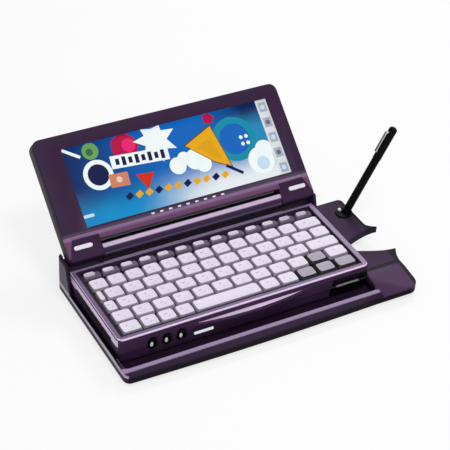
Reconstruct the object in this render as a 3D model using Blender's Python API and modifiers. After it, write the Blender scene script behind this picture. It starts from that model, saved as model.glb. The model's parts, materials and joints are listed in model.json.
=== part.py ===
"""Clamshell handheld computer seated in its docking cradle, with a desk pen in the cradle's holder.

Metres, +Z up. While it is built, X = 0 is the middle of the handheld, Y = 0 the front edge of its deck and
Z = 0 the table. The last step moves everything so that the origin is the bottom centre of the whole set.
"""

import math

import bmesh
import bpy
from mathutils import Matrix, Vector

# Fits shared by all pieces
SEAT_GAP = 0.0003
SLIDE_GAP = 0.0004
OVERRUN = 0.004
ROUND_SIDES = 20
SMALL_SIDES = 12
CORNER_STEPS = 3

# Handheld case
CASE_WIDTH = 0.189
CASE_DEPTH = 0.086
CASE_THICKNESS = 0.021
CASE_WALL = 0.0018
CASE_CORNER = 0.0042
CASE_EDGE = 0.0009
LOWER_CASE_HEIGHT = 0.0089
LOWER_CASE_INSET = 0.0008
LOWER_CASE_EDGE = 0.0022
DECK_PLATE = 0.0026

# Finger lip along the middle of the front edge
LIP_LEFT = -0.042
LIP_RIGHT = 0.045
LIP_REACH = 0.0045
LIP_TOP_BELOW_DECK = 0.0048
LIP_THICKNESS = 0.0030
LIP_ROOT = 0.0010
LIP_STEPS = 16
LIP_EDGE = 0.0009
LIP_BURY = 0.0003
LIP_FULLNESS = 0.7

# Cradle
FOOT_HEIGHT = 0.0009
FOOT_RADIUS = 0.0042
FOOT_INSET = 0.011
TRAY_FLOOR = 0.0015
TRAY_SIDE_GAP = 0.0008
TRAY_LEFT_WALL = 0.0023
TRAY_FRONT_RECESS = 0.011
TRAY_REAR_GAP = 0.0029
TRAY_REAR_WALL = 0.0031
TRAY_REAR_HEIGHT = 0.0245
RIM_HEIGHT = 0.0084
APRON_DEPTH = 0.0180
APRON_BOW = 0.0016
APRON_STEPS = 12
APRON_CREST_SHARE = 0.68
APRON_FRONT_HEIGHT = 0.0082
APRON_CREST_HEIGHT = 0.0100
POCKET_CORNER = 0.0026
REAR_WALL_RETURN = 0.0005
WING_HEIGHT = 0.0300
WING_LENGTH = 0.0140
WING_RAMP = 0.0070
CRADLE_CORNER = 0.0045
UNDERSIDE_TUCK = 0.0016

# Block on the cradle's right side, with the cable notch and the pen holder
BLOCK_WIDTH = 0.0300
BLOCK_HEIGHT = 0.0125
BLOCK_REAR_PROUD = 0.0005
BLOCK_CREASE_Y = 0.0040
BLOCK_FRONT_HEIGHT = 0.0092
BLOCK_FRONT_PROUD = 0.0004
BLOCK_FRONT_CORNER = 0.0062
BLOCK_REAR_CORNER = 0.0030
BLOCK_SEAM = 0.0006
BLOCK_UNDERSIDE_STEP = 0.0003
BLOCK_EDGE = 0.0008
BLOCK_NEAR_FLARE = 0.0048
BLOCK_FAR_FLARE = 0.0066
BLOCK_NEAR_FADE = 0.0150
BLOCK_FAR_FADE = 0.0070
BLOCK_FLARE_STEPS = 6
NOTCH_NECK = 0.0052
NOTCH_MOUTH = 0.0275
NOTCH_NECK_Y = 0.0345
NOTCH_MOUTH_Y = 0.0330
NOTCH_STEPS = 10
NOTCH_FULLNESS = 1.3
NOTCH_UNDERCUT = 0.0068
NOTCH_UNDERCUT_HEIGHT = 0.0070
BLOCK_WALL = 0.0021
BLOCK_ROOF = 0.0022
REAR_CHAMBER_LENGTH = 0.0299
BASE_PLATE_THICKNESS = 0.0012
BASE_PLATE_LEDGE = 0.0010
CRADLE_BOARD_THICKNESS = 0.0010
CRADLE_BOARD_LENGTH = 0.0078
CHAMBER_MARGIN = 0.0005
JACK_WIDTH = 0.0088
JACK_HEIGHT = 0.0064
JACK_LENGTH = 0.0085
JACK_POWER_BORE = 0.0028
JACK_POWER_PIN = 0.0009
JACK_SYNC_RECESS = 0.0010
JACK_SYNC_LIP = 0.0014
JACK_SPACING = 0.0118

# Docking plug and port
PLUG_WIDTH = 0.0300
PLUG_DEPTH = 0.0036
PLUG_HEIGHT = 0.0042
PLUG_SETBACK = 0.0090
PORT_WALL = 0.0016
PORT_ROOF = 0.0016

# Hinge and lid
HINGE_SETBACK = 0.0036
LID_FACE_OFFSET = 0.0071
LID_BACK_OFFSET = 0.0059
LID_CLOSED_GAP = 0.0004
LID_TILT = math.radians(40.0)
LID_CORNER = 0.0055
LID_EDGE = 0.0024
EAR_WIDTH = 0.0250
EAR_TAIL = 0.0049
EAR_SWEEP_GAP = 0.0004
LID_SKIRT = 0.0063
BEZEL_THICKNESS = 0.0021
BEZEL_EDGE = 0.0007
LID_FLOOR = 0.0015
LID_WALL = 0.0019
BARREL_RADIUS = 0.0057
BARREL_NECK_FRONT = 0.0046
BARREL_NECK_REAR = 0.0034
BARREL_STEPS = 16
BARREL_END_GAP = 0.0004
PIN_RADIUS = 0.0020
PIN_LENGTH = 0.0200
PIN_GAP = 0.0003
SCREEN_LEFT = 0.0180
SCREEN_RIGHT = 0.0105
SCREEN_TOP = 0.0095
SCREEN_ABOVE_AXIS = 0.0149
SCREEN_CHAMFER = 0.0009
RIDGE_ABOVE_AXIS = 0.0098
RIDGE_WIDTH = 0.0022
RIDGE_HEIGHT = 0.0003
RIDGE_END = 0.0060
GLASS_THICKNESS = 0.0013
GLASS_BORDER = 0.0025
MODULE_BORDER_SIDE = 0.0042
MODULE_BORDER_END = 0.0028
INVERTER_LENGTH = 0.0900
INVERTER_WIDTH = 0.0031
INVERTER_THICKNESS = 0.0040
BUMPER_SINK = 0.0010
BUMPER_PROUD = 0.0002
BUMPER_LENGTH = 0.0135
BUMPER_WIDTH = 0.0030
BUMPER_ABOVE_AXIS = 0.0039
BUMPER_FROM_SIDE = 0.0050

# Keyboard
WELL_SIDE = 0.0050
WELL_FRONT = 0.0044
WELL_SETBACK = 0.0130
WELL_SKIRT = 0.0008
WELL_SKIRT_WALL = 0.0014
FRAME_THICKNESS = 0.0012
FRAME_BORDER = 0.0019
KEY_TOP_BELOW_DECK = 0.0001
KEY_GAP = 0.0008
KEY_TOP_INSET = 0.0012
KEY_CORNER_CUT = 0.0006
KEY_TRAVEL = 0.0010
KEY_STEM_RADIUS = 0.0015
KEY_STEM_GAP = 0.0003
KEY_STEM_TAIL = 0.0008
SOFT_KEY_ROW_DEPTH = 0.0066
SOFT_KEY_ROW_GAP = 0.0018

# Front edge controls
BUTTON_WIDTH = 0.0052
BUTTON_HEIGHT = 0.0074
BUTTON_BOTTOM_BELOW_DECK = 0.0138
BUTTON_PITCH = 0.0105
BUTTON_FIRST_X = -0.0702
BUTTON_PROUD = 0.0009
BUTTON_TRAVEL = 0.0008
BUTTON_FLANGE = 0.0006
BUTTON_FLANGE_THICKNESS = 0.0008
BUTTON_ARCH_STEPS = 8
BUTTON_RELIEF = 0.0013
BUTTON_RELIEF_DEPTH = 0.0006
STATUS_LIGHT_WIDTH = 0.0140
STATUS_LIGHT_HEIGHT = 0.0018
STATUS_LIGHT_X = -0.0324
STATUS_LIGHT_BELOW_DECK = 0.0141
STATUS_LIGHT_DEPTH = 0.0024
STATUS_LIGHT_PROUD = 0.0004

# Built-in stylus
STYLUS_AXIS_Y = 0.0031
STYLUS_AXIS_BELOW_DECK = 0.0084
STYLUS_CAP_RADIUS = 0.0030
STYLUS_CAP_LENGTH = 0.0290
STYLUS_SHAFT_RADIUS = 0.0019
STYLUS_SHAFT_LENGTH = 0.0520
STYLUS_TIP_LENGTH = 0.0050
STYLUS_TIP_RADIUS = 0.0007
STYLUS_DOME = 0.0016
STYLUS_DOME_STEPS = 3
SILO_WALL = 0.0009
SILO_END_WALL = 0.0012

# Card slot and its blank
CARD_WIDTH = 0.0540
CARD_LENGTH = 0.0856
CARD_THICKNESS = 0.0050
CARD_FRONT_Y = 0.0120
CARD_ABOVE_SPLIT = 0.0004
CARD_GRIP = 0.0030
CARD_GRIP_RISE = 0.0006
CAGE_WALL = 0.0008

# Inside the case
BOSS_RADIUS = 0.0022
BOSS_INSET = 0.0100
BOARD_THICKNESS = 0.0012
BOARD_LIFT = 0.0052
BOARD_MARGIN = 0.0014
BOARD_BUTTON_GAP = 0.0015
BOARD_BATTERY_GAP = 0.0003
BATTERY_CARD_GAP = 0.0025
BATTERY_END_GAP = 0.0109
BATTERY_DEPTH = 0.0180
BATTERY_HEIGHT = 0.0120
BATTERY_EDGE = 0.0020
BATTERY_GAP = 0.0004
SPEAKER_RADIUS = 0.0090
SPEAKER_CONE_RADIUS = 0.0062
SPEAKER_DEPTH = 0.0040
SPEAKER_DISH = 0.0015
SPEAKER_X = 0.0560
SPEAKER_Y = 0.0260
CELL_RADIUS = 0.0100
CELL_HEIGHT = 0.0032
CELL_STEP = 0.0006
CELL_X = 0.0250
CELL_Y = 0.0260
MODEM_JACK_WIDTH = 0.0122
MODEM_JACK_LENGTH = 0.0105
MODEM_SOCKET_WIDTH = 0.0096
MODEM_SOCKET_HEIGHT = 0.0048
MODEM_SOCKET_DEPTH = 0.0085
MODEM_SOCKET_RISE = 0.0009
MODEM_JACK_HEIGHT = 0.0066

# Desk pen and its holder
PEN_X_FROM_BLOCK_RIGHT = 0.0058
PEN_FROM_BLOCK_REAR = 0.0165
PEN_LEAN = math.radians(27.5)
PEN_RADIUS = 0.0029
PEN_CAP_RADIUS = 0.0031
PEN_ABOVE_SOCKET = 0.0735
PEN_IN_SOCKET = 0.0075
PEN_NIB_LENGTH = 0.0050
PEN_NIB_TIP_RADIUS = 0.0008
PEN_TAPER_SHARE = 0.84
PEN_CAP_LENGTH = 0.0265
PEN_DOME = 0.0022
PEN_DOME_STEPS = 4
PEN_SEAM = 0.0003
CLIP_WIDTH = 0.0022
CLIP_THICKNESS = 0.0006
CLIP_LENGTH = 0.0174
CLIP_FROM_TOP = 0.0040
CLIP_STAND_OFF = 0.0012
CLIP_ROOT = 0.0024
CLIP_BEAD = 0.0005
SOCKET_TUBE_RADIUS = 0.0042
SOCKET_COLLAR_RADIUS = 0.0064
SOCKET_COLLAR_SHIFT = 0.0015
SOCKET_COLLAR_HEIGHT = 0.0011
SOCKET_COLLAR_EDGE = 0.0005
SOCKET_MOUTH_RADIUS = 0.0040
SOCKET_MOUTH_DEPTH = 0.0020
SOCKET_TUBE_DEPTH = 0.0084
PEN_GAP = 0.0004

# Heights and places that follow from the sizes above
CRADLE_UNDERSIDE = FOOT_HEIGHT + SEAT_GAP
TRAY_TOP = CRADLE_UNDERSIDE + TRAY_FLOOR
CASE_BOTTOM = TRAY_TOP + SEAT_GAP
DECK_TOP = CASE_BOTTOM + CASE_THICKNESS
SPLIT_LOW = CASE_BOTTOM + LOWER_CASE_HEIGHT
SPLIT_HIGH = SPLIT_LOW + SEAT_GAP
DECK_UNDERSIDE = DECK_TOP - DECK_PLATE
CASE_FLOOR = CASE_BOTTOM + CASE_WALL
HALF_CASE = CASE_WIDTH / 2
HINGE_Y = CASE_DEPTH - HINGE_SETBACK
HINGE_Z = DECK_TOP + LID_CLOSED_GAP + LID_FACE_OFFSET
LID_TOP = HINGE_Y
EAR_SWEEP = math.hypot(LID_FACE_OFFSET, EAR_TAIL) + EAR_SWEEP_GAP
BARREL_HALF = HALF_CASE - EAR_WIDTH - BARREL_END_GAP
TRAY_HALF = HALF_CASE + TRAY_SIDE_GAP
CRADLE_LEFT = -TRAY_HALF - TRAY_LEFT_WALL
CRADLE_FRONT = -APRON_DEPTH
CRADLE_REAR = CASE_DEPTH + TRAY_REAR_GAP + TRAY_REAR_WALL
TRAY_REAR = CASE_DEPTH + TRAY_REAR_GAP
BLOCK_LEFT = TRAY_HALF
BLOCK_REAR = CASE_DEPTH + BLOCK_REAR_PROUD
REAR_CHAMBER_FRONT = BLOCK_REAR - REAR_CHAMBER_LENGTH
PEN_Y = BLOCK_REAR - PEN_FROM_BLOCK_REAR
BLOCK_RIGHT = BLOCK_LEFT + BLOCK_WIDTH
WING_RIGHT = TRAY_HALF + TRAY_LEFT_WALL
PEN_X = BLOCK_RIGHT - PEN_X_FROM_BLOCK_RIGHT
WELL_HALF = HALF_CASE - WELL_SIDE
WELL_BACK_Y = CASE_DEPTH - WELL_SETBACK
KEY_TOP = DECK_TOP - KEY_TOP_BELOW_DECK
WELL_SKIRT_BOTTOM = DECK_UNDERSIDE - WELL_SKIRT
FRAME_TOP = WELL_SKIRT_BOTTOM - SEAT_GAP
FRAME_BOTTOM = FRAME_TOP - FRAME_THICKNESS
KEY_CAP_HEIGHT = KEY_TOP - FRAME_TOP - SLIDE_GAP - KEY_TRAVEL
BUTTON_BACK = LOWER_CASE_INSET + CASE_WALL + SEAT_GAP + BUTTON_FLANGE_THICKNESS + BUTTON_TRAVEL
BOARD_FRONT = BUTTON_BACK + BOARD_BUTTON_GAP
BOARD_BOTTOM = CASE_FLOOR + BOARD_LIFT
BOARD_TOP = BOARD_BOTTOM + BOARD_THICKNESS
STYLUS_Z = DECK_TOP - STYLUS_AXIS_BELOW_DECK
BUTTON_BOTTOM = DECK_TOP - BUTTON_BOTTOM_BELOW_DECK
STATUS_LIGHT_Z = DECK_TOP - STATUS_LIGHT_BELOW_DECK
BEZEL_BACK = LID_FACE_OFFSET - BEZEL_THICKNESS
COVER_FRONT = BEZEL_BACK - SEAT_GAP
SCREEN_LOW = SCREEN_ABOVE_AXIS
SCREEN_HIGH = LID_TOP - SCREEN_TOP
SCREEN_X_LOW = -HALF_CASE + SCREEN_LEFT
SCREEN_X_HIGH = HALF_CASE - SCREEN_RIGHT

# Widths of the keys in each row, as shares of the row, from left to right. A name marks a key that is a
# separate moving piece; the others stay on the keyboard frame.
SOFT_KEY_SHARES = [(1.0, None)] * 13
DIGIT_ROW_SHARES = [(1.0, "escape_key")] + [(1.0, None)] * 11 + [(1.5, "backspace_key")]
TOP_ROW_SHARES = [(0.4, None), (0.95, "tab_key")] + [(1.0, None)] * 10 + [(1.0, "delete_key")]
HOME_ROW_SHARES = [(0.63, "caps_key")] + [(1.0, None)] * 10 + [(1.68, "enter_key")]
LOW_ROW_SHARES = ([(1.02, "left_shift_key")] + [(1.0, None)] * 9
                  + [(1.02, "up_arrow_key"), (1.12, "right_shift_key")])
SPACE_ROW_SHARES = [(1.04, "control_key"), (0.9, "function_key"), (0.88, "alt_key"), (0.9, None),
                    (3.5, "space_key"), (1.0, None), (1.0, None), (1.04, "left_arrow_key"),
                    (1.04, "down_arrow_key"), (1.14, "right_arrow_key")]
KEY_ROWS = [DIGIT_ROW_SHARES, TOP_ROW_SHARES, HOME_ROW_SHARES, LOW_ROW_SHARES, SPACE_ROW_SHARES]

# Base colour, roughness and metallic value of each finish
FINISHES = {
    "aubergine_plastic": ((0.075, 0.045, 0.095, 1.0), 0.42, 0.0),
    "dark_plastic": ((0.012, 0.010, 0.014, 1.0), 0.45, 0.0),
    "key_plastic": ((0.72, 0.68, 0.80, 1.0), 0.50, 0.0),
    "arrow_plastic": ((0.42, 0.40, 0.50, 1.0), 0.50, 0.0),
    "gloss_black": ((0.008, 0.008, 0.010, 1.0), 0.18, 0.0),
    "rubber": ((0.02, 0.02, 0.02, 1.0), 0.85, 0.0),
    "screen_glass": ((0.05, 0.16, 0.42, 1.0), 0.12, 0.0),
    "module_metal": ((0.60, 0.61, 0.63, 1.0), 0.35, 0.9),
    "circuit_board": ((0.02, 0.16, 0.07, 1.0), 0.50, 0.0),
    "battery_wrap": ((0.05, 0.06, 0.10, 1.0), 0.45, 0.0),
    "steel": ((0.62, 0.62, 0.64, 1.0), 0.30, 1.0),
    "light_lens": ((0.90, 0.92, 0.95, 1.0), 0.25, 0.0),
    "contact_gold": ((0.80, 0.60, 0.25, 1.0), 0.30, 1.0),
}


def clear_scene():
    """Remove whatever the file holds."""
    for old in list(bpy.data.objects):
        bpy.data.objects.remove(old, do_unlink=True)


def new_collection(name):
    """A collection linked to the scene."""
    made = bpy.data.collections.new(name)
    bpy.context.scene.collection.children.link(made)
    return made


clear_scene()
PIECES = new_collection("handheld_computer")
CUTTERS = new_collection("cutters")


def finish_material(name):
    """The Principled material of one finish, made once."""
    found = bpy.data.materials.get(name)
    if found:
        return found
    colour, roughness, metallic = FINISHES[name]
    made = bpy.data.materials.new(name)
    made.use_nodes = True
    shader = made.node_tree.nodes["Principled BSDF"]
    shader.inputs["Base Color"].default_value = colour
    shader.inputs["Roughness"].default_value = roughness
    shader.inputs["Metallic"].default_value = metallic
    made.diffuse_color = colour
    return made


def empty(name, parent=None, location=(0.0, 0.0, 0.0), rotation=(0.0, 0.0, 0.0)):
    """A frame that pieces are parented to."""
    made = bpy.data.objects.new(name, None)
    CUTTERS.objects.link(made)
    made.parent = parent
    made.location = location
    made.rotation_euler = rotation
    return made


def place(name, edit, parent, location=(0.0, 0.0, 0.0), rotation=(0.0, 0.0, 0.0)):
    """Turn an edit mesh into an object of the model."""
    bmesh.ops.recalc_face_normals(edit, faces=edit.faces)
    mesh = bpy.data.meshes.new(name)
    edit.to_mesh(mesh)
    edit.free()
    made = bpy.data.objects.new(name, mesh)
    PIECES.objects.link(made)
    made.parent = parent
    made.location = location
    made.rotation_euler = rotation
    return made


def box(name, low, high, parent):
    """A block between two opposite corners."""
    middle = [(a + b) / 2 for a, b in zip(low, high)]
    size = [b - a for a, b in zip(low, high)]
    edit = bmesh.new()
    bmesh.ops.create_cube(edit, size=1.0, matrix=Matrix.Diagonal((*size, 1.0)))
    return place(name, edit, parent, middle)


def cylinder(name, start, end, radius, parent, end_radius=None, sides=ROUND_SIDES):
    """A round bar or cone from one point to another."""
    start, end = Vector(start), Vector(end)
    along = end - start
    edit = bmesh.new()
    bmesh.ops.create_cone(edit, cap_ends=True, segments=sides, radius1=radius,
                          radius2=radius if end_radius is None else end_radius, depth=along.length)
    turn = along.to_track_quat("Z", "Y").to_euler()
    return place(name, edit, parent, (start + end) / 2, turn)


EXTRUSION_TURNS = {
    "X": (math.pi / 2, 0.0, math.pi / 2),
    "Y": (math.pi / 2, 0.0, 0.0),
    "Z": (0.0, 0.0, 0.0),
}


def extrusion(name, outline, axis, low, high, parent):
    """A flat outline carried along one axis: (y, z) points for X, (x, z) for Y and (x, y) for Z."""
    curve = bpy.data.curves.new(name, "CURVE")
    curve.dimensions = "2D"
    curve.fill_mode = "BOTH"
    curve.extrude = (high - low) / 2
    spline = curve.splines.new("POLY")
    spline.points.add(len(outline) - 1)
    for point, (u, v) in zip(spline.points, outline):
        point.co = (u, v, 0.0, 1.0)
    spline.use_cyclic_u = True
    flat = bpy.data.objects.new(name + "_outline", curve)
    PIECES.objects.link(flat)
    solid = flat.evaluated_get(bpy.context.evaluated_depsgraph_get())
    mesh = bpy.data.meshes.new_from_object(solid)
    bpy.data.objects.remove(flat, do_unlink=True)
    edit = bmesh.new()
    edit.from_mesh(mesh)
    bpy.data.meshes.remove(mesh)
    bmesh.ops.remove_doubles(edit, verts=edit.verts, dist=1e-7)
    bmesh.ops.dissolve_limit(edit, angle_limit=0.001, verts=edit.verts, edges=edit.edges)
    middle = (low + high) / 2
    location = {"X": (middle, 0.0, 0.0), "Y": (0.0, middle, 0.0), "Z": (0.0, 0.0, middle)}[axis]
    return place(name, edit, parent, location, EXTRUSION_TURNS[axis])


def turned(name, profile, parent, location=(0.0, 0.0, 0.0), sides=ROUND_SIDES):
    """A turned solid about its own Z, from (radius, height) points that run from the top down."""
    mesh = bpy.data.meshes.new(name)
    points = [(radius, 0.0, height) for radius, height in profile]
    mesh.from_pydata(points, [(i, i + 1) for i in range(len(points) - 1)], [])
    made = bpy.data.objects.new(name, mesh)
    PIECES.objects.link(made)
    made.parent = parent
    made.location = location
    screw = made.modifiers.new("turn", "SCREW")
    screw.steps = sides
    screw.render_steps = sides
    screw.use_merge_vertices = True
    screw.merge_threshold = 1e-6
    return made


def as_tool(tool):
    """Keep an operand out of the model."""
    for held in list(tool.users_collection):
        held.objects.unlink(tool)
    CUTTERS.objects.link(tool)
    tool.hide_render = True
    tool.display_type = "WIRE"
    return tool


def combine(target, tool, operation):
    """Boolean the target with a tool."""
    as_tool(tool)
    step = target.modifiers.new(tool.name, "BOOLEAN")
    step.operation = operation
    step.object = tool
    return target


def cut(target, *tools):
    """Take tools away from the target."""
    for tool in tools:
        combine(target, tool, "DIFFERENCE")
    return target


def join(target, *tools):
    """Grow the target by tools that overlap it."""
    for tool in tools:
        combine(target, tool, "UNION")
    return target


def soften(target, width, segments=1, angle=math.radians(35.0)):
    """Round the sharp edges of the target."""
    edge = target.modifiers.new("rounded_edges", "BEVEL")
    edge.width = width
    edge.segments = segments
    edge.limit_method = "ANGLE"
    edge.angle_limit = angle
    return target


def dress(target, finish):
    """Give a piece its material and smooth its round faces."""
    target.data.materials.append(finish_material(finish))
    target.data.shade_smooth()
    target.data.set_sharp_from_angle(angle=math.radians(35.0))
    return target


def arc(centre, radius, start, end, steps):
    """Points on an arc, with angles in degrees."""
    turns = [math.radians(start + (end - start) * i / steps) for i in range(steps + 1)]
    return [(centre[0] + radius * math.cos(turn), centre[1] + radius * math.sin(turn)) for turn in turns]


def rounded_rectangle(left, right, front, back, radius, steps=CORNER_STEPS):
    """An outline with four round corners, anticlockwise."""
    return (arc((right - radius, front + radius), radius, -90, 0, steps)
            + arc((right - radius, back - radius), radius, 0, 90, steps)
            + arc((left + radius, back - radius), radius, 90, 180, steps)
            + arc((left + radius, front + radius), radius, 180, 270, steps))


def case_outline(inset=0.0):
    """The handheld's plan outline, drawn in by an inset."""
    return rounded_rectangle(-HALF_CASE + inset, HALF_CASE - inset, inset, CASE_DEPTH - inset,
                             max(CASE_CORNER - inset, CASE_EDGE))


def arch_outline(middle, bottom, width, height):
    """A doorway outline: straight sides with a half round top."""
    radius = width / 2
    top = arc((middle, bottom + height - radius), radius, 0, 180, BUTTON_ARCH_STEPS)
    return [(middle - radius, bottom), (middle + radius, bottom)] + top


def button_places():
    """The middle of each front button, from left to right."""
    return [BUTTON_FIRST_X + i * BUTTON_PITCH for i in range(3)]


def mirrored(points):
    """The same outline on the other side of X = 0, still anticlockwise."""
    return [(-x, y) for x, y in reversed(points)]


def tapered_block(name, low, high, top_inset, corner_cut, parent):
    """A block with cut corners whose top is drawn in on all sides."""
    middle = [(a + b) / 2 for a, b in zip(low, high)]
    size = [b - a for a, b in zip(low, high)]
    edit = bmesh.new()
    bmesh.ops.create_cube(edit, size=1.0, matrix=Matrix.Diagonal((*size, 1.0)))
    if corner_cut:
        upright = [edge for edge in edit.edges if abs(edge.verts[0].co.z - edge.verts[1].co.z) > size[2] / 2]
        bmesh.ops.bevel(edit, geom=upright, offset=corner_cut, segments=1, affect="EDGES")
    for vertex in edit.verts:
        if vertex.co.z > 0:
            vertex.co.x -= math.copysign(top_inset, vertex.co.x)
            vertex.co.y -= math.copysign(top_inset, vertex.co.y)
    return place(name, edit, parent, middle)


def lofted(name, sections, parent):
    """A solid through cross-sections that all have the same number of points, closed at both ends."""
    edit = bmesh.new()
    rings = [[edit.verts.new(point) for point in section] for section in sections]
    count = len(sections[0])
    for near, far in zip(rings, rings[1:]):
        for i in range(count):
            edit.faces.new((near[i], near[(i + 1) % count], far[(i + 1) % count], far[i]))
    edit.faces.new(rings[0][::-1])
    edit.faces.new(rings[-1])
    return place(name, edit, parent)


def round_edges_at(target, height, width, segments=2):
    """Round the level edges of a solid that lie at one height of its own mesh."""
    edit = bmesh.new()
    edit.from_mesh(target.data)
    chosen = [edge for edge in edit.edges
              if all(abs(vertex.co.z - height) < SEAT_GAP / 10 for vertex in edge.verts)
              and edge.calc_face_angle(0.0) > math.radians(35.0)]
    bmesh.ops.bevel(edit, geom=chosen, offset=width, segments=segments, profile=0.5, affect="EDGES")
    bmesh.ops.recalc_face_normals(edit, faces=edit.faces)
    edit.to_mesh(target.data)
    edit.free()
    return target


# The cradle

def block_flare(y):
    """How far the block's right side stands out beside the notch, fading to nothing on both sides."""
    near, far = NOTCH_MOUTH_Y - NOTCH_MOUTH / 2, NOTCH_MOUTH_Y + NOTCH_MOUTH / 2
    if y < near:
        return BLOCK_NEAR_FLARE * (1 - min((near - y) / BLOCK_NEAR_FADE, 1.0)) ** 2
    if y > far:
        return BLOCK_FAR_FLARE * (1 - min((y - far) / BLOCK_FAR_FADE, 1.0)) ** 2
    return BLOCK_NEAR_FLARE + (BLOCK_FAR_FLARE - BLOCK_NEAR_FLARE) * (y - near) / NOTCH_MOUTH


def tray_outline():
    """Plan outline of the tray: straight sides and a front edge that bows out a little."""
    r = CRADLE_CORNER
    left, right = CRADLE_LEFT + r, WING_RIGHT - r
    front = [(left + (right - left) * i / APRON_STEPS,
              CRADLE_FRONT - APRON_BOW * math.sin(math.pi * i / APRON_STEPS)) for i in range(1, APRON_STEPS)]
    return (arc((left, CRADLE_FRONT + r), r, 180, 270, CORNER_STEPS) + front
            + [(WING_RIGHT, CRADLE_FRONT)]
            + arc((right, CRADLE_REAR - r), r, 0, 90, CORNER_STEPS)
            + arc((left, CRADLE_REAR - r), r, 90, 180, CORNER_STEPS))


def block_outline():
    """Plan outline of the side block, whose right side flares beside the notch."""
    r, rear = BLOCK_FRONT_CORNER, BLOCK_REAR_CORNER
    front = CRADLE_FRONT - BLOCK_FRONT_PROUD
    near, far = NOTCH_MOUTH_Y - NOTCH_MOUTH / 2, NOTCH_MOUTH_Y + NOTCH_MOUTH / 2
    shares = [i / BLOCK_FLARE_STEPS for i in range(BLOCK_FLARE_STEPS + 1)]
    flare = ([near - BLOCK_NEAR_FADE * (1 - share) for share in shares]
             + [far + BLOCK_FAR_FADE * share for share in shares])
    return ([(BLOCK_LEFT + BLOCK_SEAM, front)]
            + arc((BLOCK_RIGHT - r, front + r), r, 270, 360, CORNER_STEPS + 1)
            + [(BLOCK_RIGHT + block_flare(y), y) for y in flare]
            + arc((BLOCK_RIGHT - rear, BLOCK_REAR - rear), rear, 0, 90, CORNER_STEPS)
            + [(BLOCK_LEFT + BLOCK_SEAM, BLOCK_REAR)])


def notch_outline(undercut=0.0):
    """Plan outline of the cable notch, which opens from a neck at the handheld to a wide mouth."""
    near, far = [], []
    start, end = BLOCK_LEFT - OVERRUN / 2, BLOCK_RIGHT + BLOCK_FAR_FLARE
    for i in range(NOTCH_STEPS + 1):
        share = i / NOTCH_STEPS
        x = start + (end - start) * share
        middle = NOTCH_NECK_Y + (NOTCH_MOUTH_Y - NOTCH_NECK_Y) * share
        spread = math.sin(math.pi / 2 * share) ** NOTCH_FULLNESS
        half = (NOTCH_NECK + (NOTCH_MOUTH - NOTCH_NECK) * spread) / 2
        near.append((x, middle - half))
        far.append((x, middle + half + undercut))
    near.append((end + OVERRUN, near[-1][1]))
    far.append((end + OVERRUN, far[-1][1]))
    return near + far[::-1]


def pen_frame(parent):
    """The pen's axis: its Z runs up the pen from the middle of the socket's mouth."""
    return empty("pen_axis", parent, (PEN_X, PEN_Y, BLOCK_HEIGHT), (0.0, PEN_LEAN, 0.0))


def jack_box(middle, grow, parent, name):
    """The outer box of one rear jack, grown by a fit."""
    low = (middle - JACK_WIDTH / 2 - grow, BLOCK_REAR - JACK_LENGTH - grow, JACK_LOW - grow)
    high = (middle + JACK_WIDTH / 2 + grow, BLOCK_REAR - SEAT_GAP + grow, JACK_LOW + JACK_HEIGHT + grow)
    return box(name, low, high, parent)


BLOCK_UNDERSIDE = CRADLE_UNDERSIDE + BLOCK_UNDERSIDE_STEP
PLATE_TOP = BLOCK_UNDERSIDE + BASE_PLATE_THICKNESS
JACK_LOW = PLATE_TOP + SEAT_GAP
CHAMBER_LEFT = WING_RIGHT + CHAMBER_MARGIN
CHAMBER_RIGHT = BLOCK_RIGHT - BLOCK_WALL
CHAMBER_REAR = BLOCK_REAR - BLOCK_WALL
JACK_POWER_X = CHAMBER_LEFT + CHAMBER_MARGIN + JACK_WIDTH / 2
JACK_SYNC_X = JACK_POWER_X + JACK_SPACING


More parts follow.
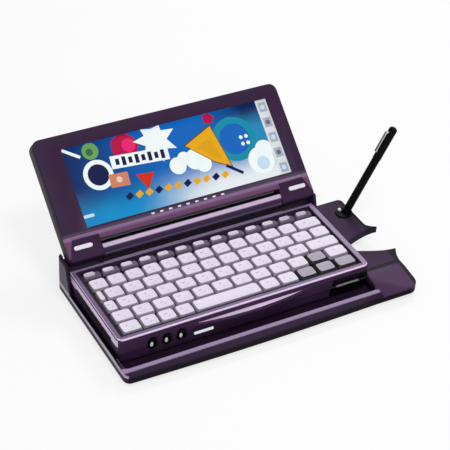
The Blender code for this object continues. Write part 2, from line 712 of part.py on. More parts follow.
def make_cradle(root):
    """The tray with its wings, apron, side block, notch and rear chamber."""
    beyond = WING_HEIGHT + OVERRUN
    wing_front = CRADLE_REAR - WING_LENGTH
    shell = extrusion("cradle_shell", tray_outline(), "Z", CRADLE_UNDERSIDE, WING_HEIGHT, root)
    round_edges_at(shell, (CRADLE_UNDERSIDE - WING_HEIGHT) / 2, UNDERSIDE_TUCK, 1)
    front = CRADLE_FRONT - APRON_BOW
    above = [(front - OVERRUN, APRON_FRONT_HEIGHT), (front, APRON_FRONT_HEIGHT),
             (CRADLE_FRONT * APRON_CREST_SHARE, APRON_CREST_HEIGHT), (0.0, APRON_CREST_HEIGHT),
             (wing_front - WING_RAMP, RIM_HEIGHT), (wing_front, WING_HEIGHT), (wing_front, beyond),
             (front - OVERRUN, beyond)]
    cut(shell, extrusion("space_above_tray", above, "X", CRADLE_LEFT - OVERRUN, WING_RIGHT + OVERRUN, root))
    pocket = rounded_rectangle(-TRAY_HALF, TRAY_HALF, -TRAY_FRONT_RECESS, TRAY_REAR, POCKET_CORNER)
    cut(shell, extrusion("handheld_pocket", pocket, "Z", TRAY_TOP, beyond, root))
    inner = TRAY_HALF - REAR_WALL_RETURN
    cut(shell, box("space_above_rear_wall", (-inner, TRAY_REAR - OVERRUN, TRAY_REAR_HEIGHT),
                   (inner, CRADLE_REAR + OVERRUN, beyond), root))

    block = extrusion("side_block", block_outline(), "Z", BLOCK_UNDERSIDE, BLOCK_HEIGHT, root)
    half_height = (BLOCK_HEIGHT - BLOCK_UNDERSIDE) / 2
    round_edges_at(block, -half_height, UNDERSIDE_TUCK, 1)
    round_edges_at(block, half_height, BLOCK_EDGE, 2)
    low_front = CRADLE_FRONT - BLOCK_FRONT_PROUD
    slope = [(low_front - OVERRUN, BLOCK_FRONT_HEIGHT), (low_front, BLOCK_FRONT_HEIGHT),
             (BLOCK_CREASE_Y, BLOCK_HEIGHT), (BLOCK_CREASE_Y, beyond), (low_front - OVERRUN, beyond)]
    cut(block, extrusion("space_above_slope", slope, "X", BLOCK_LEFT - OVERRUN,
                         BLOCK_RIGHT + BLOCK_FAR_FLARE + OVERRUN, root))
    cut(block, extrusion("cable_notch", notch_outline(), "Z", -OVERRUN, beyond, root))
    cut(block, extrusion("notch_undercut", notch_outline(NOTCH_UNDERCUT), "Z", -OVERRUN * 2,
                         NOTCH_UNDERCUT_HEIGHT, root))
    cut(block, box("rear_chamber", (CHAMBER_LEFT, REAR_CHAMBER_FRONT, -OVERRUN),
                   (CHAMBER_RIGHT, CHAMBER_REAR, BLOCK_HEIGHT - BLOCK_ROOF), root))
    ledge = BASE_PLATE_LEDGE
    cut(block, box("plate_rebate", (CHAMBER_LEFT - ledge, REAR_CHAMBER_FRONT - ledge, -OVERRUN * 2),
                   (CHAMBER_RIGHT + ledge, CHAMBER_REAR + ledge, PLATE_TOP), root))
    axis = pen_frame(root)
    hole = SOCKET_TUBE_RADIUS + SEAT_GAP
    cut(block, cylinder("socket_hole", (0.0, 0.0, -SOCKET_TUBE_DEPTH), (0.0, 0.0, OVERRUN), hole, axis))
    for name, middle in (("power_jack_hole", JACK_POWER_X), ("sync_jack_hole", JACK_SYNC_X)):
        low = (middle - JACK_WIDTH / 2 - SEAT_GAP, CHAMBER_REAR - OVERRUN / 2, JACK_LOW - SEAT_GAP / 2)
        high = (middle + JACK_WIDTH / 2 + SEAT_GAP, BLOCK_REAR + OVERRUN, JACK_LOW + JACK_HEIGHT + SEAT_GAP)
        cut(block, box(name, low, high, root))
    join(shell, block)
    dress(shell, "aubergine_plastic")


def make_base_plate(root):
    """The cover screwed under the block's rear chamber."""
    edge = BASE_PLATE_LEDGE - SEAT_GAP
    plate = box("cradle_base_plate", (CHAMBER_LEFT - edge, REAR_CHAMBER_FRONT - edge, BLOCK_UNDERSIDE),
                (CHAMBER_RIGHT + edge, CHAMBER_REAR + edge, PLATE_TOP - SEAT_GAP), root)
    dress(plate, "dark_plastic")


def make_cradle_electronics(root):
    """The charging board, the two rear jacks and the docking plug."""
    low = PLATE_TOP
    board = box("cradle_board", (CHAMBER_LEFT + CHAMBER_MARGIN, REAR_CHAMBER_FRONT + CHAMBER_MARGIN, low),
                (CHAMBER_RIGHT - CHAMBER_MARGIN, REAR_CHAMBER_FRONT + CHAMBER_MARGIN + CRADLE_BOARD_LENGTH,
                 low + CRADLE_BOARD_THICKNESS), root)
    dress(board, "circuit_board")

    middle_z = JACK_LOW + JACK_HEIGHT / 2
    power = jack_box(JACK_POWER_X, 0.0, root, "power_jack")
    cut(power, cylinder("power_jack_bore", (JACK_POWER_X, BLOCK_REAR - JACK_LENGTH * 0.8, middle_z),
                        (JACK_POWER_X, BLOCK_REAR + OVERRUN, middle_z), JACK_POWER_BORE, root))
    join(power, cylinder("power_jack_pin", (JACK_POWER_X, BLOCK_REAR - JACK_LENGTH * 0.9, middle_z),
                         (JACK_POWER_X, BLOCK_REAR - JACK_LENGTH * 0.2, middle_z), JACK_POWER_PIN, root,
                         sides=SMALL_SIDES))
    dress(power, "gloss_black")

    sync = jack_box(JACK_SYNC_X, 0.0, root, "sync_jack")
    half = JACK_WIDTH / 2 - JACK_SYNC_LIP
    cut(sync, box("sync_jack_mouth", (JACK_SYNC_X - half, BLOCK_REAR - SEAT_GAP - JACK_SYNC_RECESS,
                                      JACK_LOW + JACK_SYNC_LIP),
                  (JACK_SYNC_X + half, BLOCK_REAR + OVERRUN, JACK_LOW + JACK_HEIGHT - JACK_SYNC_LIP), root))
    dress(sync, "dark_plastic")

    plug_low = TRAY_TOP + SEAT_GAP
    plug = tapered_block("dock_connector", (-PLUG_WIDTH / 2, PLUG_Y - PLUG_DEPTH / 2, plug_low),
                         (PLUG_WIDTH / 2, PLUG_Y + PLUG_DEPTH / 2, plug_low + PLUG_HEIGHT),
                         SLIDE_GAP, SLIDE_GAP, root)
    dress(plug, "contact_gold")


def make_feet(root):
    """Four round rubber feet: one in each corner of the tray, the front right one under the side block."""
    left = CRADLE_LEFT + FOOT_INSET
    front = CRADLE_FRONT + FOOT_INSET
    rear = CRADLE_REAR - FOOT_INSET
    places = {"foot_front_left": (left, front, FOOT_HEIGHT), "foot_rear_left": (left, rear, FOOT_HEIGHT),
              "foot_front_right": (BLOCK_RIGHT - FOOT_INSET, front, FOOT_HEIGHT + BLOCK_UNDERSIDE_STEP),
              "foot_rear_right": (WING_RIGHT - FOOT_INSET, rear, FOOT_HEIGHT)}
    for name, (x, y, height) in places.items():
        foot = turned(name, [(0.0, height), (FOOT_RADIUS, height), (FOOT_RADIUS, 0.0), (0.0, 0.0)], root,
                      (x, y, 0.0), SMALL_SIDES)
        dress(foot, "rubber")


def make_pen_socket(root):
    """The holder in the block's roof: a level collar, a leaning tube and a flared mouth."""
    axis = pen_frame(root)
    socket = turned("pen_socket", [(0.0, SOCKET_COLLAR_HEIGHT), (SOCKET_COLLAR_RADIUS - SOCKET_COLLAR_EDGE,
                                                                SOCKET_COLLAR_HEIGHT),
                                   (SOCKET_COLLAR_RADIUS, SOCKET_COLLAR_HEIGHT - SOCKET_COLLAR_EDGE),
                                   (SOCKET_COLLAR_RADIUS, SEAT_GAP), (0.0, SEAT_GAP)],
                    root, (PEN_X - SOCKET_COLLAR_SHIFT, PEN_Y, BLOCK_HEIGHT))
    tube_top = SOCKET_COLLAR_HEIGHT + SOCKET_TUBE_RADIUS * math.tan(PEN_LEAN)
    join(socket, cylinder("socket_tube", (0.0, 0.0, -SOCKET_TUBE_DEPTH), (0.0, 0.0, tube_top),
                          SOCKET_TUBE_RADIUS, axis))
    top = BLOCK_HEIGHT + SOCKET_COLLAR_HEIGHT
    beside = SOCKET_COLLAR_RADIUS * 2
    cut(socket, box("space_above_collar", (PEN_X - beside, PEN_Y - beside, top),
                    (PEN_X + beside, PEN_Y + beside, top + OVERRUN * 2), root))
    bore = PEN_RADIUS + PEN_GAP
    cut(socket, cylinder("socket_bore", (0.0, 0.0, -PEN_IN_SOCKET - SEAT_GAP),
                         (0.0, 0.0, SOCKET_COLLAR_HEIGHT + OVERRUN), bore, axis))
    cut(socket, cylinder("socket_mouth", (0.0, 0.0, -SOCKET_MOUTH_DEPTH),
                         (0.0, 0.0, SOCKET_COLLAR_HEIGHT * 2), bore - SEAT_GAP, axis,
                         end_radius=SOCKET_MOUTH_RADIUS))
    dress(socket, "gloss_black")


def make_pen(root):
    """The desk pen that stands in the holder."""
    axis = pen_frame(root)
    nib_top = -PEN_IN_SOCKET + PEN_NIB_LENGTH
    nib = turned("pen_nib", [(0.0, nib_top), (PEN_RADIUS * PEN_TAPER_SHARE, nib_top),
                             (PEN_NIB_TIP_RADIUS, -PEN_IN_SOCKET), (0.0, -PEN_IN_SOCKET)], axis,
                 sides=SMALL_SIDES)
    dress(nib, "steel")
    cap_low = PEN_ABOVE_SOCKET - PEN_CAP_LENGTH
    barrel_low = nib_top + PEN_SEAM
    barrel_high = cap_low - PEN_SEAM
    barrel = turned("pen_barrel", [(0.0, barrel_high), (PEN_RADIUS, barrel_high),
                                   (PEN_RADIUS, barrel_low + PEN_NIB_LENGTH),
                                   (PEN_RADIUS * PEN_TAPER_SHARE, barrel_low), (0.0, barrel_low)], axis)
    dress(barrel, "gloss_black")
    dome = [(PEN_CAP_RADIUS * math.sin(math.pi / 2 * i / PEN_DOME_STEPS),
             PEN_ABOVE_SOCKET - PEN_DOME * (1 - math.cos(math.pi / 2 * i / PEN_DOME_STEPS)))
            for i in range(PEN_DOME_STEPS + 1)]
    cap = turned("pen_cap", dome + [(PEN_CAP_RADIUS, cap_low), (0.0, cap_low)], axis)
    dress(cap, "gloss_black")
    near = -PEN_CAP_RADIUS - SEAT_GAP
    outer = near - CLIP_STAND_OFF - CLIP_THICKNESS
    inner = outer + CLIP_THICKNESS
    high = PEN_ABOVE_SOCKET - CLIP_FROM_TOP
    low = high - CLIP_LENGTH
    bead = inner + CLIP_BEAD
    side_view = [(outer, low), (bead, low), (bead, low + CLIP_BEAD), (inner, low + CLIP_ROOT),
                 (inner, high - CLIP_ROOT), (near, high - CLIP_THICKNESS), (near, high),
                 (outer, high - CLIP_THICKNESS)]
    clip = extrusion("pen_clip", side_view, "Y", -CLIP_WIDTH / 2, CLIP_WIDTH / 2, axis)
    dress(clip, "steel")


# The handheld's case

def stylus_frame(parent):
    """The built-in stylus's axis: its Z points out of the case's right side."""
    return empty("stylus_axis", parent, (HALF_CASE, STYLUS_AXIS_Y, STYLUS_Z), (0.0, math.pi / 2, 0.0))


def ear_clearances(parent):
    """The round cuts in which the lid's ears turn."""
    made = []
    for name, side in (("left_ear_sweep", -1), ("right_ear_sweep", 1)):
        made.append(cylinder(name, (side * BARREL_HALF, HINGE_Y, HINGE_Z),
                             (side * (HALF_CASE + OVERRUN), HINGE_Y, HINGE_Z), EAR_SWEEP, parent, sides=32))
    return made


def button_holes(parent, tag):
    """Doorway-shaped holes for the front buttons, with a shallow relief round each."""
    made = []
    for i, middle in enumerate(button_places()):
        hole = arch_outline(middle, BUTTON_BOTTOM - SLIDE_GAP, BUTTON_WIDTH + 2 * SLIDE_GAP,
                            BUTTON_HEIGHT + 2 * SLIDE_GAP)
        made.append(extrusion(f"button_hole_{tag}_{i}", hole, "Y", -OVERRUN, CASE_WALL + OVERRUN / 4, parent))
        edge = BUTTON_RELIEF + SLIDE_GAP
        relief = arch_outline(middle, BUTTON_BOTTOM - edge, BUTTON_WIDTH + 2 * edge, BUTTON_HEIGHT + 2 * edge)
        depth = BUTTON_RELIEF_DEPTH if tag == "upper" else LOWER_CASE_INSET + BUTTON_RELIEF_DEPTH
        made.append(extrusion(f"button_relief_{tag}_{i}", relief, "Y", -OVERRUN / 2, depth, parent))
    return made


def make_lip(parent):
    """The finger lip: a shallow bow with eased edges that grows out of the front wall and back into it."""
    high = DECK_TOP - LIP_TOP_BELOW_DECK
    low = high - LIP_THICKNESS
    sections = []
    for i in range(LIP_STEPS + 1):
        share = i / LIP_STEPS
        x = LIP_LEFT + (LIP_RIGHT - LIP_LEFT) * share
        front = LIP_BURY - LIP_REACH * math.sin(math.pi * share) ** LIP_FULLNESS
        ease = min(LIP_EDGE, (LIP_ROOT - front) / 2)
        sections.append([(x, LIP_ROOT, low), (x, LIP_ROOT, high), (x, front + ease, high),
                         (x, front, high - ease), (x, front, low + ease), (x, front + ease, low)])
    return lofted("finger_lip", sections, parent)


def modem_hole(parent):
    """The socket's hole through the case's right wall."""
    half = MODEM_SOCKET_WIDTH / 2
    return box("modem_hole", (HALF_CASE - CASE_WALL - OVERRUN / 4, NOTCH_NECK_Y - half, SPLIT_HIGH - OVERRUN),
               (HALF_CASE + OVERRUN, NOTCH_NECK_Y + half, MODEM_SOCKET_LOW + MODEM_SOCKET_HEIGHT), parent)


PLUG_Y = CASE_DEPTH - PLUG_SETBACK
CARD_LOW = SPLIT_HIGH + CARD_ABOVE_SPLIT
CARD_HIGH = CARD_LOW + CARD_THICKNESS
MODEM_JACK_LOW = BOARD_TOP + SEAT_GAP
MODEM_SOCKET_LOW = MODEM_JACK_LOW + MODEM_SOCKET_RISE
PLUG_TOP = TRAY_TOP + SEAT_GAP + PLUG_HEIGHT
PORT_HALF = PLUG_WIDTH / 2 + SLIDE_GAP
PORT_FRONT = PLUG_Y - PLUG_DEPTH / 2 - SLIDE_GAP
PORT_BACK = PLUG_Y + PLUG_DEPTH / 2 + SLIDE_GAP
BATTERY_BACK = PORT_FRONT - PORT_WALL - BATTERY_GAP
BATTERY_FRONT = BATTERY_BACK - BATTERY_DEPTH
BOARD_BACK = BATTERY_FRONT - BOARD_BATTERY_GAP
GRIP_LEFT = -HALF_CASE + SEAT_GAP
CAGE_RIGHT = GRIP_LEFT + CARD_LENGTH + SEAT_GAP + CAGE_WALL


def make_upper_case(hand):
    """The deck and its skirt, with the key well, finger lip, stylus silo and openings."""
    case = extrusion("upper_case", case_outline(), "Z", SPLIT_HIGH, DECK_TOP, hand)
    round_edges_at(case, (DECK_TOP - SPLIT_HIGH) / 2, CASE_EDGE)
    join(case, make_lip(hand))
    cut(case, extrusion("upper_case_hollow", case_outline(CASE_WALL), "Z", SPLIT_HIGH - OVERRUN,
                        DECK_UNDERSIDE, hand))
    wall = WELL_SKIRT_WALL
    join(case, box("well_skirt", (-WELL_HALF - wall, WELL_FRONT - wall, WELL_SKIRT_BOTTOM),
                   (WELL_HALF + wall, WELL_BACK_Y + wall, DECK_UNDERSIDE + DECK_PLATE / 2), hand))
    cut(case, box("key_well", (-WELL_HALF, WELL_FRONT, WELL_SKIRT_BOTTOM - OVERRUN / 4),
                  (WELL_HALF, WELL_BACK_Y, DECK_TOP + OVERRUN), hand))
    cap_start = HALF_CASE - STYLUS_CAP_LENGTH - SEAT_GAP
    silo_left = cap_start - STYLUS_SHAFT_LENGTH - STYLUS_TIP_LENGTH - SILO_END_WALL
    around_shaft = STYLUS_SHAFT_RADIUS + SEAT_GAP + SILO_WALL
    silo_top = min(STYLUS_Z + around_shaft, FRAME_BOTTOM - SEAT_GAP)
    silo_back = STYLUS_AXIS_Y + STYLUS_CAP_RADIUS + SEAT_GAP + SILO_WALL
    join(case, box("stylus_silo", (silo_left, CASE_WALL / 2, STYLUS_Z - around_shaft),
                   (HALF_CASE - CASE_WALL / 2, silo_back, silo_top), hand))
    axis = stylus_frame(hand)
    inner_end = -STYLUS_CAP_LENGTH - STYLUS_SHAFT_LENGTH - STYLUS_TIP_LENGTH - 2 * SEAT_GAP
    cut(case, cylinder("stylus_bore", (0.0, 0.0, inner_end), (0.0, 0.0, OVERRUN),
                       STYLUS_SHAFT_RADIUS + SEAT_GAP, axis))
    groove = STYLUS_CAP_RADIUS + SEAT_GAP
    cut(case, cylinder("stylus_groove", (0.0, 0.0, -STYLUS_CAP_LENGTH - SEAT_GAP),
                       (0.0, 0.0, OVERRUN * 2), groove, axis, sides=24))
    cut(case, box("stylus_window", (HALF_CASE - STYLUS_CAP_LENGTH, -OVERRUN, STYLUS_Z - groove),
                  (HALF_CASE + OVERRUN, STYLUS_AXIS_Y, STYLUS_Z + groove), hand))
    cut(case, *ear_clearances(hand))
    half = CARD_WIDTH / 2 + SEAT_GAP
    middle = CARD_FRONT_Y + CARD_WIDTH / 2
    cut(case, box("card_slot", (-HALF_CASE - OVERRUN, middle - half, SPLIT_HIGH - OVERRUN),
                  (-HALF_CASE + CASE_WALL + OVERRUN / 4, middle + half, CARD_HIGH + SEAT_GAP), hand))
    cut(case, modem_hole(hand))
    cut(case, *button_holes(hand, "upper"))
    dress(case, "aubergine_plastic")


def make_lower_case(hand):
    """The underside shell with its board bosses, docking slot and light slot."""
    case = extrusion("lower_case", case_outline(LOWER_CASE_INSET), "Z", CASE_BOTTOM, SPLIT_LOW, hand)
    round_edges_at(case, -LOWER_CASE_HEIGHT / 2, LOWER_CASE_EDGE)
    cut(case, extrusion("lower_case_hollow", case_outline(LOWER_CASE_INSET + CASE_WALL), "Z", CASE_FLOOR,
                        SPLIT_LOW + OVERRUN, hand))
    for i, (x, y) in enumerate(boss_places()):
        join(case, cylinder(f"board_boss_{i}", (x, y, CASE_FLOOR - CASE_WALL / 2),
                            (x, y, BOARD_BOTTOM - SEAT_GAP), BOSS_RADIUS, hand, sides=SMALL_SIDES))
    cut(case, box("docking_slot", (-PORT_HALF, PORT_FRONT, CASE_BOTTOM - OVERRUN),
                  (PORT_HALF, PORT_BACK, CASE_FLOOR + OVERRUN / 4), hand))
    cut(case, *button_holes(hand, "lower"))
    half = STATUS_LIGHT_WIDTH / 2 + SEAT_GAP
    rise = STATUS_LIGHT_HEIGHT / 2 + SEAT_GAP
    past_wall = LOWER_CASE_INSET + CASE_WALL + OVERRUN / 4
    cut(case, box("light_slot", (STATUS_LIGHT_X - half, -OVERRUN, STATUS_LIGHT_Z - rise),
                  (STATUS_LIGHT_X + half, past_wall, STATUS_LIGHT_Z + rise), hand))
    dress(case, "dark_plastic")


def boss_places():
    """The middles of the four board bosses."""
    x = HALF_CASE - BOSS_INSET
    front, back = BOARD_FRONT + BOSS_INSET / 2, BOARD_BACK - BOSS_INSET / 2
    return [(-x, front), (x, front), (-x, back), (x, back)]


def make_front_controls(hand):
    """Three front buttons with flanges behind the wall, and the status light."""
    for name, middle in zip(("record_button", "play_button", "wake_button"), button_places()):
        origin = empty(name + "_origin", hand, (middle, 0.0, BUTTON_BOTTOM))
        behind = LOWER_CASE_INSET + CASE_WALL + SEAT_GAP
        button = extrusion(name, arch_outline(0.0, 0.0, BUTTON_WIDTH, BUTTON_HEIGHT), "Y", -BUTTON_PROUD,
                           behind + BUTTON_FLANGE_THICKNESS / 2, origin)
        grown = 2 * (SLIDE_GAP + BUTTON_FLANGE)
        flange = extrusion(name + "_flange", arch_outline(0.0, -grown / 2, BUTTON_WIDTH + grown,
                                                          BUTTON_HEIGHT + grown),
                           "Y", behind, behind + BUTTON_FLANGE_THICKNESS, origin)
        join(button, flange)
        dress(button, "gloss_black")
    front = LOWER_CASE_INSET - STATUS_LIGHT_PROUD
    light = box("status_light", (STATUS_LIGHT_X - STATUS_LIGHT_WIDTH / 2, front,
                                 STATUS_LIGHT_Z - STATUS_LIGHT_HEIGHT / 2),
                (STATUS_LIGHT_X + STATUS_LIGHT_WIDTH / 2, front + STATUS_LIGHT_DEPTH,
                 STATUS_LIGHT_Z + STATUS_LIGHT_HEIGHT / 2), hand)
    dress(light, "light_lens")


def make_inside(hand):
    """The board and what it carries, the battery, the card cage and its blank, and the docking port."""
    side = HALF_CASE - LOWER_CASE_INSET - CASE_WALL - BOARD_MARGIN
    board = box("main_board", (-side, BOARD_FRONT, BOARD_BOTTOM),
                (side, BOARD_BACK, BOARD_TOP), hand)
    dress(board, "circuit_board")

    battery_right = HALF_CASE - LOWER_CASE_INSET - CASE_WALL - BATTERY_END_GAP
    battery = box("battery_pack", (CAGE_RIGHT + BATTERY_CARD_GAP, BATTERY_FRONT, CASE_FLOOR + SEAT_GAP),
                  (battery_right, BATTERY_BACK, CASE_FLOOR + SEAT_GAP + BATTERY_HEIGHT), hand)
    soften(battery, BATTERY_EDGE, 2)
    dress(battery, "battery_wrap")

    on_board = BOARD_TOP + SEAT_GAP
    speaker = turned("speaker", [(0.0, SPEAKER_DEPTH - SPEAKER_DISH), (SPEAKER_CONE_RADIUS, SPEAKER_DEPTH),
                                 (SPEAKER_RADIUS, SPEAKER_DEPTH), (SPEAKER_RADIUS, 0.0), (0.0, 0.0)], hand,
                     (SPEAKER_X, SPEAKER_Y, on_board))
    dress(speaker, "module_metal")
    cell = turned("backup_cell", [(0.0, CELL_HEIGHT), (CELL_RADIUS - CELL_STEP, CELL_HEIGHT),
                                  (CELL_RADIUS, CELL_HEIGHT - CELL_STEP), (CELL_RADIUS, 0.0), (0.0, 0.0)],
                  hand, (CELL_X, CELL_Y, on_board))
    dress(cell, "steel")

    jack_right = HALF_CASE - LOWER_CASE_INSET - CASE_WALL - SEAT_GAP
    half = MODEM_JACK_WIDTH / 2
    jack = box("modem_jack", (jack_right - MODEM_JACK_LENGTH, NOTCH_NECK_Y - half, MODEM_JACK_LOW),
               (jack_right, NOTCH_NECK_Y + half, MODEM_JACK_LOW + MODEM_JACK_HEIGHT), hand)
    half = MODEM_SOCKET_WIDTH / 2
    cut(jack, box("modem_socket", (jack_right - MODEM_SOCKET_DEPTH, NOTCH_NECK_Y - half, MODEM_SOCKET_LOW),
                  (jack_right + OVERRUN, NOTCH_NECK_Y + half, MODEM_SOCKET_LOW + MODEM_SOCKET_HEIGHT), hand))
    dress(jack, "dark_plastic")

    port = box("dock_port", (-PORT_HALF - PORT_WALL, PORT_FRONT - PORT_WALL, CASE_FLOOR + SEAT_GAP),
               (PORT_HALF + PORT_WALL, PORT_BACK + PORT_WALL, PLUG_TOP + SLIDE_GAP + PORT_ROOF), hand)
    cut(port, box("dock_port_mouth", (-PORT_HALF, PORT_FRONT, CASE_FLOOR - OVERRUN),
                  (PORT_HALF, PORT_BACK, PLUG_TOP + SLIDE_GAP), hand))
    dress(port, "dark_plastic")

    card_back = CARD_FRONT_Y + CARD_WIDTH
    blank = box("card_blank", (GRIP_LEFT, CARD_FRONT_Y, CARD_LOW),
                (GRIP_LEFT + CARD_LENGTH, card_back, CARD_HIGH), hand)
    grip_half = CARD_WIDTH / 4
    middle = CARD_FRONT_Y + CARD_WIDTH / 2
    join(blank, box("card_grip", (GRIP_LEFT - CARD_GRIP_RISE, middle - grip_half, CARD_LOW + CARD_GRIP_RISE),
                    (GRIP_LEFT + CARD_GRIP, middle + grip_half, CARD_LOW + CARD_GRIP_RISE * 3), hand))
    dress(blank, "dark_plastic")
    wall = CAGE_WALL + SEAT_GAP
    cage_left = -HALF_CASE + LOWER_CASE_INSET + CASE_WALL + SEAT_GAP
    cage = box("card_cage", (cage_left, CARD_FRONT_Y - wall, CARD_LOW - wall),
               (CAGE_RIGHT, card_back + wall, CARD_HIGH + wall), hand)
    cut(cage, box("card_space", (-HALF_CASE - OVERRUN, CARD_FRONT_Y - SEAT_GAP, CARD_LOW - SEAT_GAP),
                  (GRIP_LEFT + CARD_LENGTH + SEAT_GAP, card_back + SEAT_GAP, CARD_HIGH + SEAT_GAP), hand))
    dress(cage, "module_metal")


def make_stylus(hand):
    """The stylus in the silo: a fat cap that shows in the case's front corner, a thin shaft and its tip."""
    axis = stylus_frame(hand)
    dome = [(STYLUS_CAP_RADIUS * math.sin(math.pi / 2 * i / STYLUS_DOME_STEPS),
             -STYLUS_DOME * (1 - math.cos(math.pi / 2 * i / STYLUS_DOME_STEPS)))
            for i in range(STYLUS_DOME_STEPS + 1)]
    inner = -STYLUS_CAP_LENGTH
    cap = turned("stylus_cap", dome + [(STYLUS_CAP_RADIUS, inner), (0.0, inner)], axis)
    dress(cap, "gloss_black")
    top = -STYLUS_CAP_LENGTH - SEAT_GAP
    shoulder = -STYLUS_CAP_LENGTH - STYLUS_SHAFT_LENGTH
    tip = shoulder - STYLUS_TIP_LENGTH
    shaft = turned("stylus_shaft", [(0.0, top), (STYLUS_SHAFT_RADIUS, top), (STYLUS_SHAFT_RADIUS, shoulder),
                                    (STYLUS_TIP_RADIUS, tip), (0.0, tip)], axis, sides=SMALL_SIDES)
    dress(shaft, "dark_plastic")


# The keyboard

def key_places():
    """Each key's name or None, and its left, right, front and back sides in the well."""
    places = []
    row_back = WELL_BACK_Y
    rows = [(SOFT_KEY_SHARES, SOFT_KEY_ROW_DEPTH)]
    left_over = WELL_BACK_Y - WELL_FRONT - SOFT_KEY_ROW_DEPTH - SOFT_KEY_ROW_GAP
    rows += [(row, left_over / len(KEY_ROWS)) for row in KEY_ROWS]
    for index, (row, depth) in enumerate(rows):
        total = sum(share for share, name in row)
        left = -WELL_HALF
        for share, name in row:
            right = left + 2 * WELL_HALF * share / total
            places.append((name, left + KEY_GAP / 2, right - KEY_GAP / 2,
                           row_back - depth + KEY_GAP / 2, row_back - KEY_GAP / 2))
            left = right
        row_back -= depth + (SOFT_KEY_ROW_GAP if index == 0 else 0)
    return places


def make_keyboard(hand):
    """The keyboard frame with its plain keys, and each separate moving key with its guide stem."""
    edge = FRAME_BORDER
    frame = box("keyboard_frame", (-WELL_HALF - edge, WELL_FRONT - edge, FRAME_BOTTOM),
                (WELL_HALF + edge, WELL_BACK_Y + edge, FRAME_TOP), hand)
    for index, (name, left, right, front, back) in enumerate(key_places()):
        if name is None:
            join(frame, tapered_block(f"plain_key_{index}", (left, front, FRAME_TOP - FRAME_THICKNESS / 2),
                                      (right, back, KEY_TOP), KEY_TOP_INSET, KEY_CORNER_CUT, hand))
            continue
        middle = ((left + right) / 2, (front + back) / 2)
        origin = empty(name + "_origin", hand, (*middle, KEY_TOP))
        half_x, half_y = (right - left) / 2, (back - front) / 2
        key = tapered_block(name, (-half_x, -half_y, -KEY_CAP_HEIGHT), (half_x, half_y, 0.0),
                            KEY_TOP_INSET, KEY_CORNER_CUT, origin)
        tail = FRAME_BOTTOM + KEY_STEM_TAIL - KEY_TOP
        join(key, cylinder(name + "_stem", (0.0, 0.0, tail), (0.0, 0.0, -KEY_CAP_HEIGHT / 2), KEY_STEM_RADIUS,
                           origin, sides=SMALL_SIDES))
        low, high = FRAME_BOTTOM - OVERRUN / 4, FRAME_TOP + OVERRUN / 4
        cut(frame, cylinder(name + "_guide", (*middle, low), (*middle, high), KEY_STEM_RADIUS + KEY_STEM_GAP,
                            hand, sides=SMALL_SIDES))
        arrow = "arrow" in name
        dress(key, "arrow_plastic" if arrow else "key_plastic")
    dress(frame, "key_plastic")


# The hinge and the lid

def make_hinge(hand):
    """The barrel on its neck across the back of the deck, and the two steel pins in its ends."""
    round_part = arc((HINGE_Y, HINGE_Z), BARREL_RADIUS, -50, 230, BARREL_STEPS)
    foot = DECK_TOP + SEAT_GAP
    outline = [(HINGE_Y + BARREL_NECK_REAR, foot)] + round_part + [(HINGE_Y - BARREL_NECK_FRONT, foot)]
    barrel = extrusion("hinge_barrel", outline, "X", -BARREL_HALF, BARREL_HALF, hand)
    for side, word in ((-1, "left"), (1, "right")):
        inner = BARREL_HALF - PIN_LENGTH / 2
        outer = BARREL_HALF + PIN_LENGTH / 2
        cut(barrel, cylinder(f"pin_bore_{word}", (side * (inner - SEAT_GAP), HINGE_Y, HINGE_Z),
                             (side * (outer + OVERRUN), HINGE_Y, HINGE_Z), PIN_RADIUS + PIN_GAP, hand,
                             sides=SMALL_SIDES))
        pin = cylinder(f"hinge_pin_{word}", (side * inner, HINGE_Y, HINGE_Z),
                       (side * outer, HINGE_Y, HINGE_Z), PIN_RADIUS, hand, sides=SMALL_SIDES)
        dress(pin, "steel")
    dress(barrel, "aubergine_plastic")


def lid_outline():
    """The lid's outline seen square on: round top corners and an ear at each end of its lower edge."""
    ear = HALF_CASE - EAR_WIDTH
    r, low_r = LID_CORNER, LID_CORNER / 2
    right = ([(ear, LID_SKIRT), (ear, -EAR_TAIL)]
             + arc((HALF_CASE - low_r, -EAR_TAIL + low_r), low_r, -90, 0, CORNER_STEPS)
             + arc((HALF_CASE - r, LID_TOP - r), r, 0, 90, CORNER_STEPS + 1))
    return right + mirrored(right)


def bumper_place(side):
    """The middle of one bumper in the lid's frame."""
    return side * (HALF_CASE - BUMPER_FROM_SIDE - BUMPER_LENGTH / 2), BUMPER_ABOVE_AXIS


def bumper_outline(side, grow):
    """A rounded bar for one bumper or its recess."""
    x, v = bumper_place(side)
    half, rise = BUMPER_LENGTH / 2 + grow, BUMPER_WIDTH / 2 + grow
    return rounded_rectangle(x - half, x + half, v - rise, v + rise, rise * 0.95)


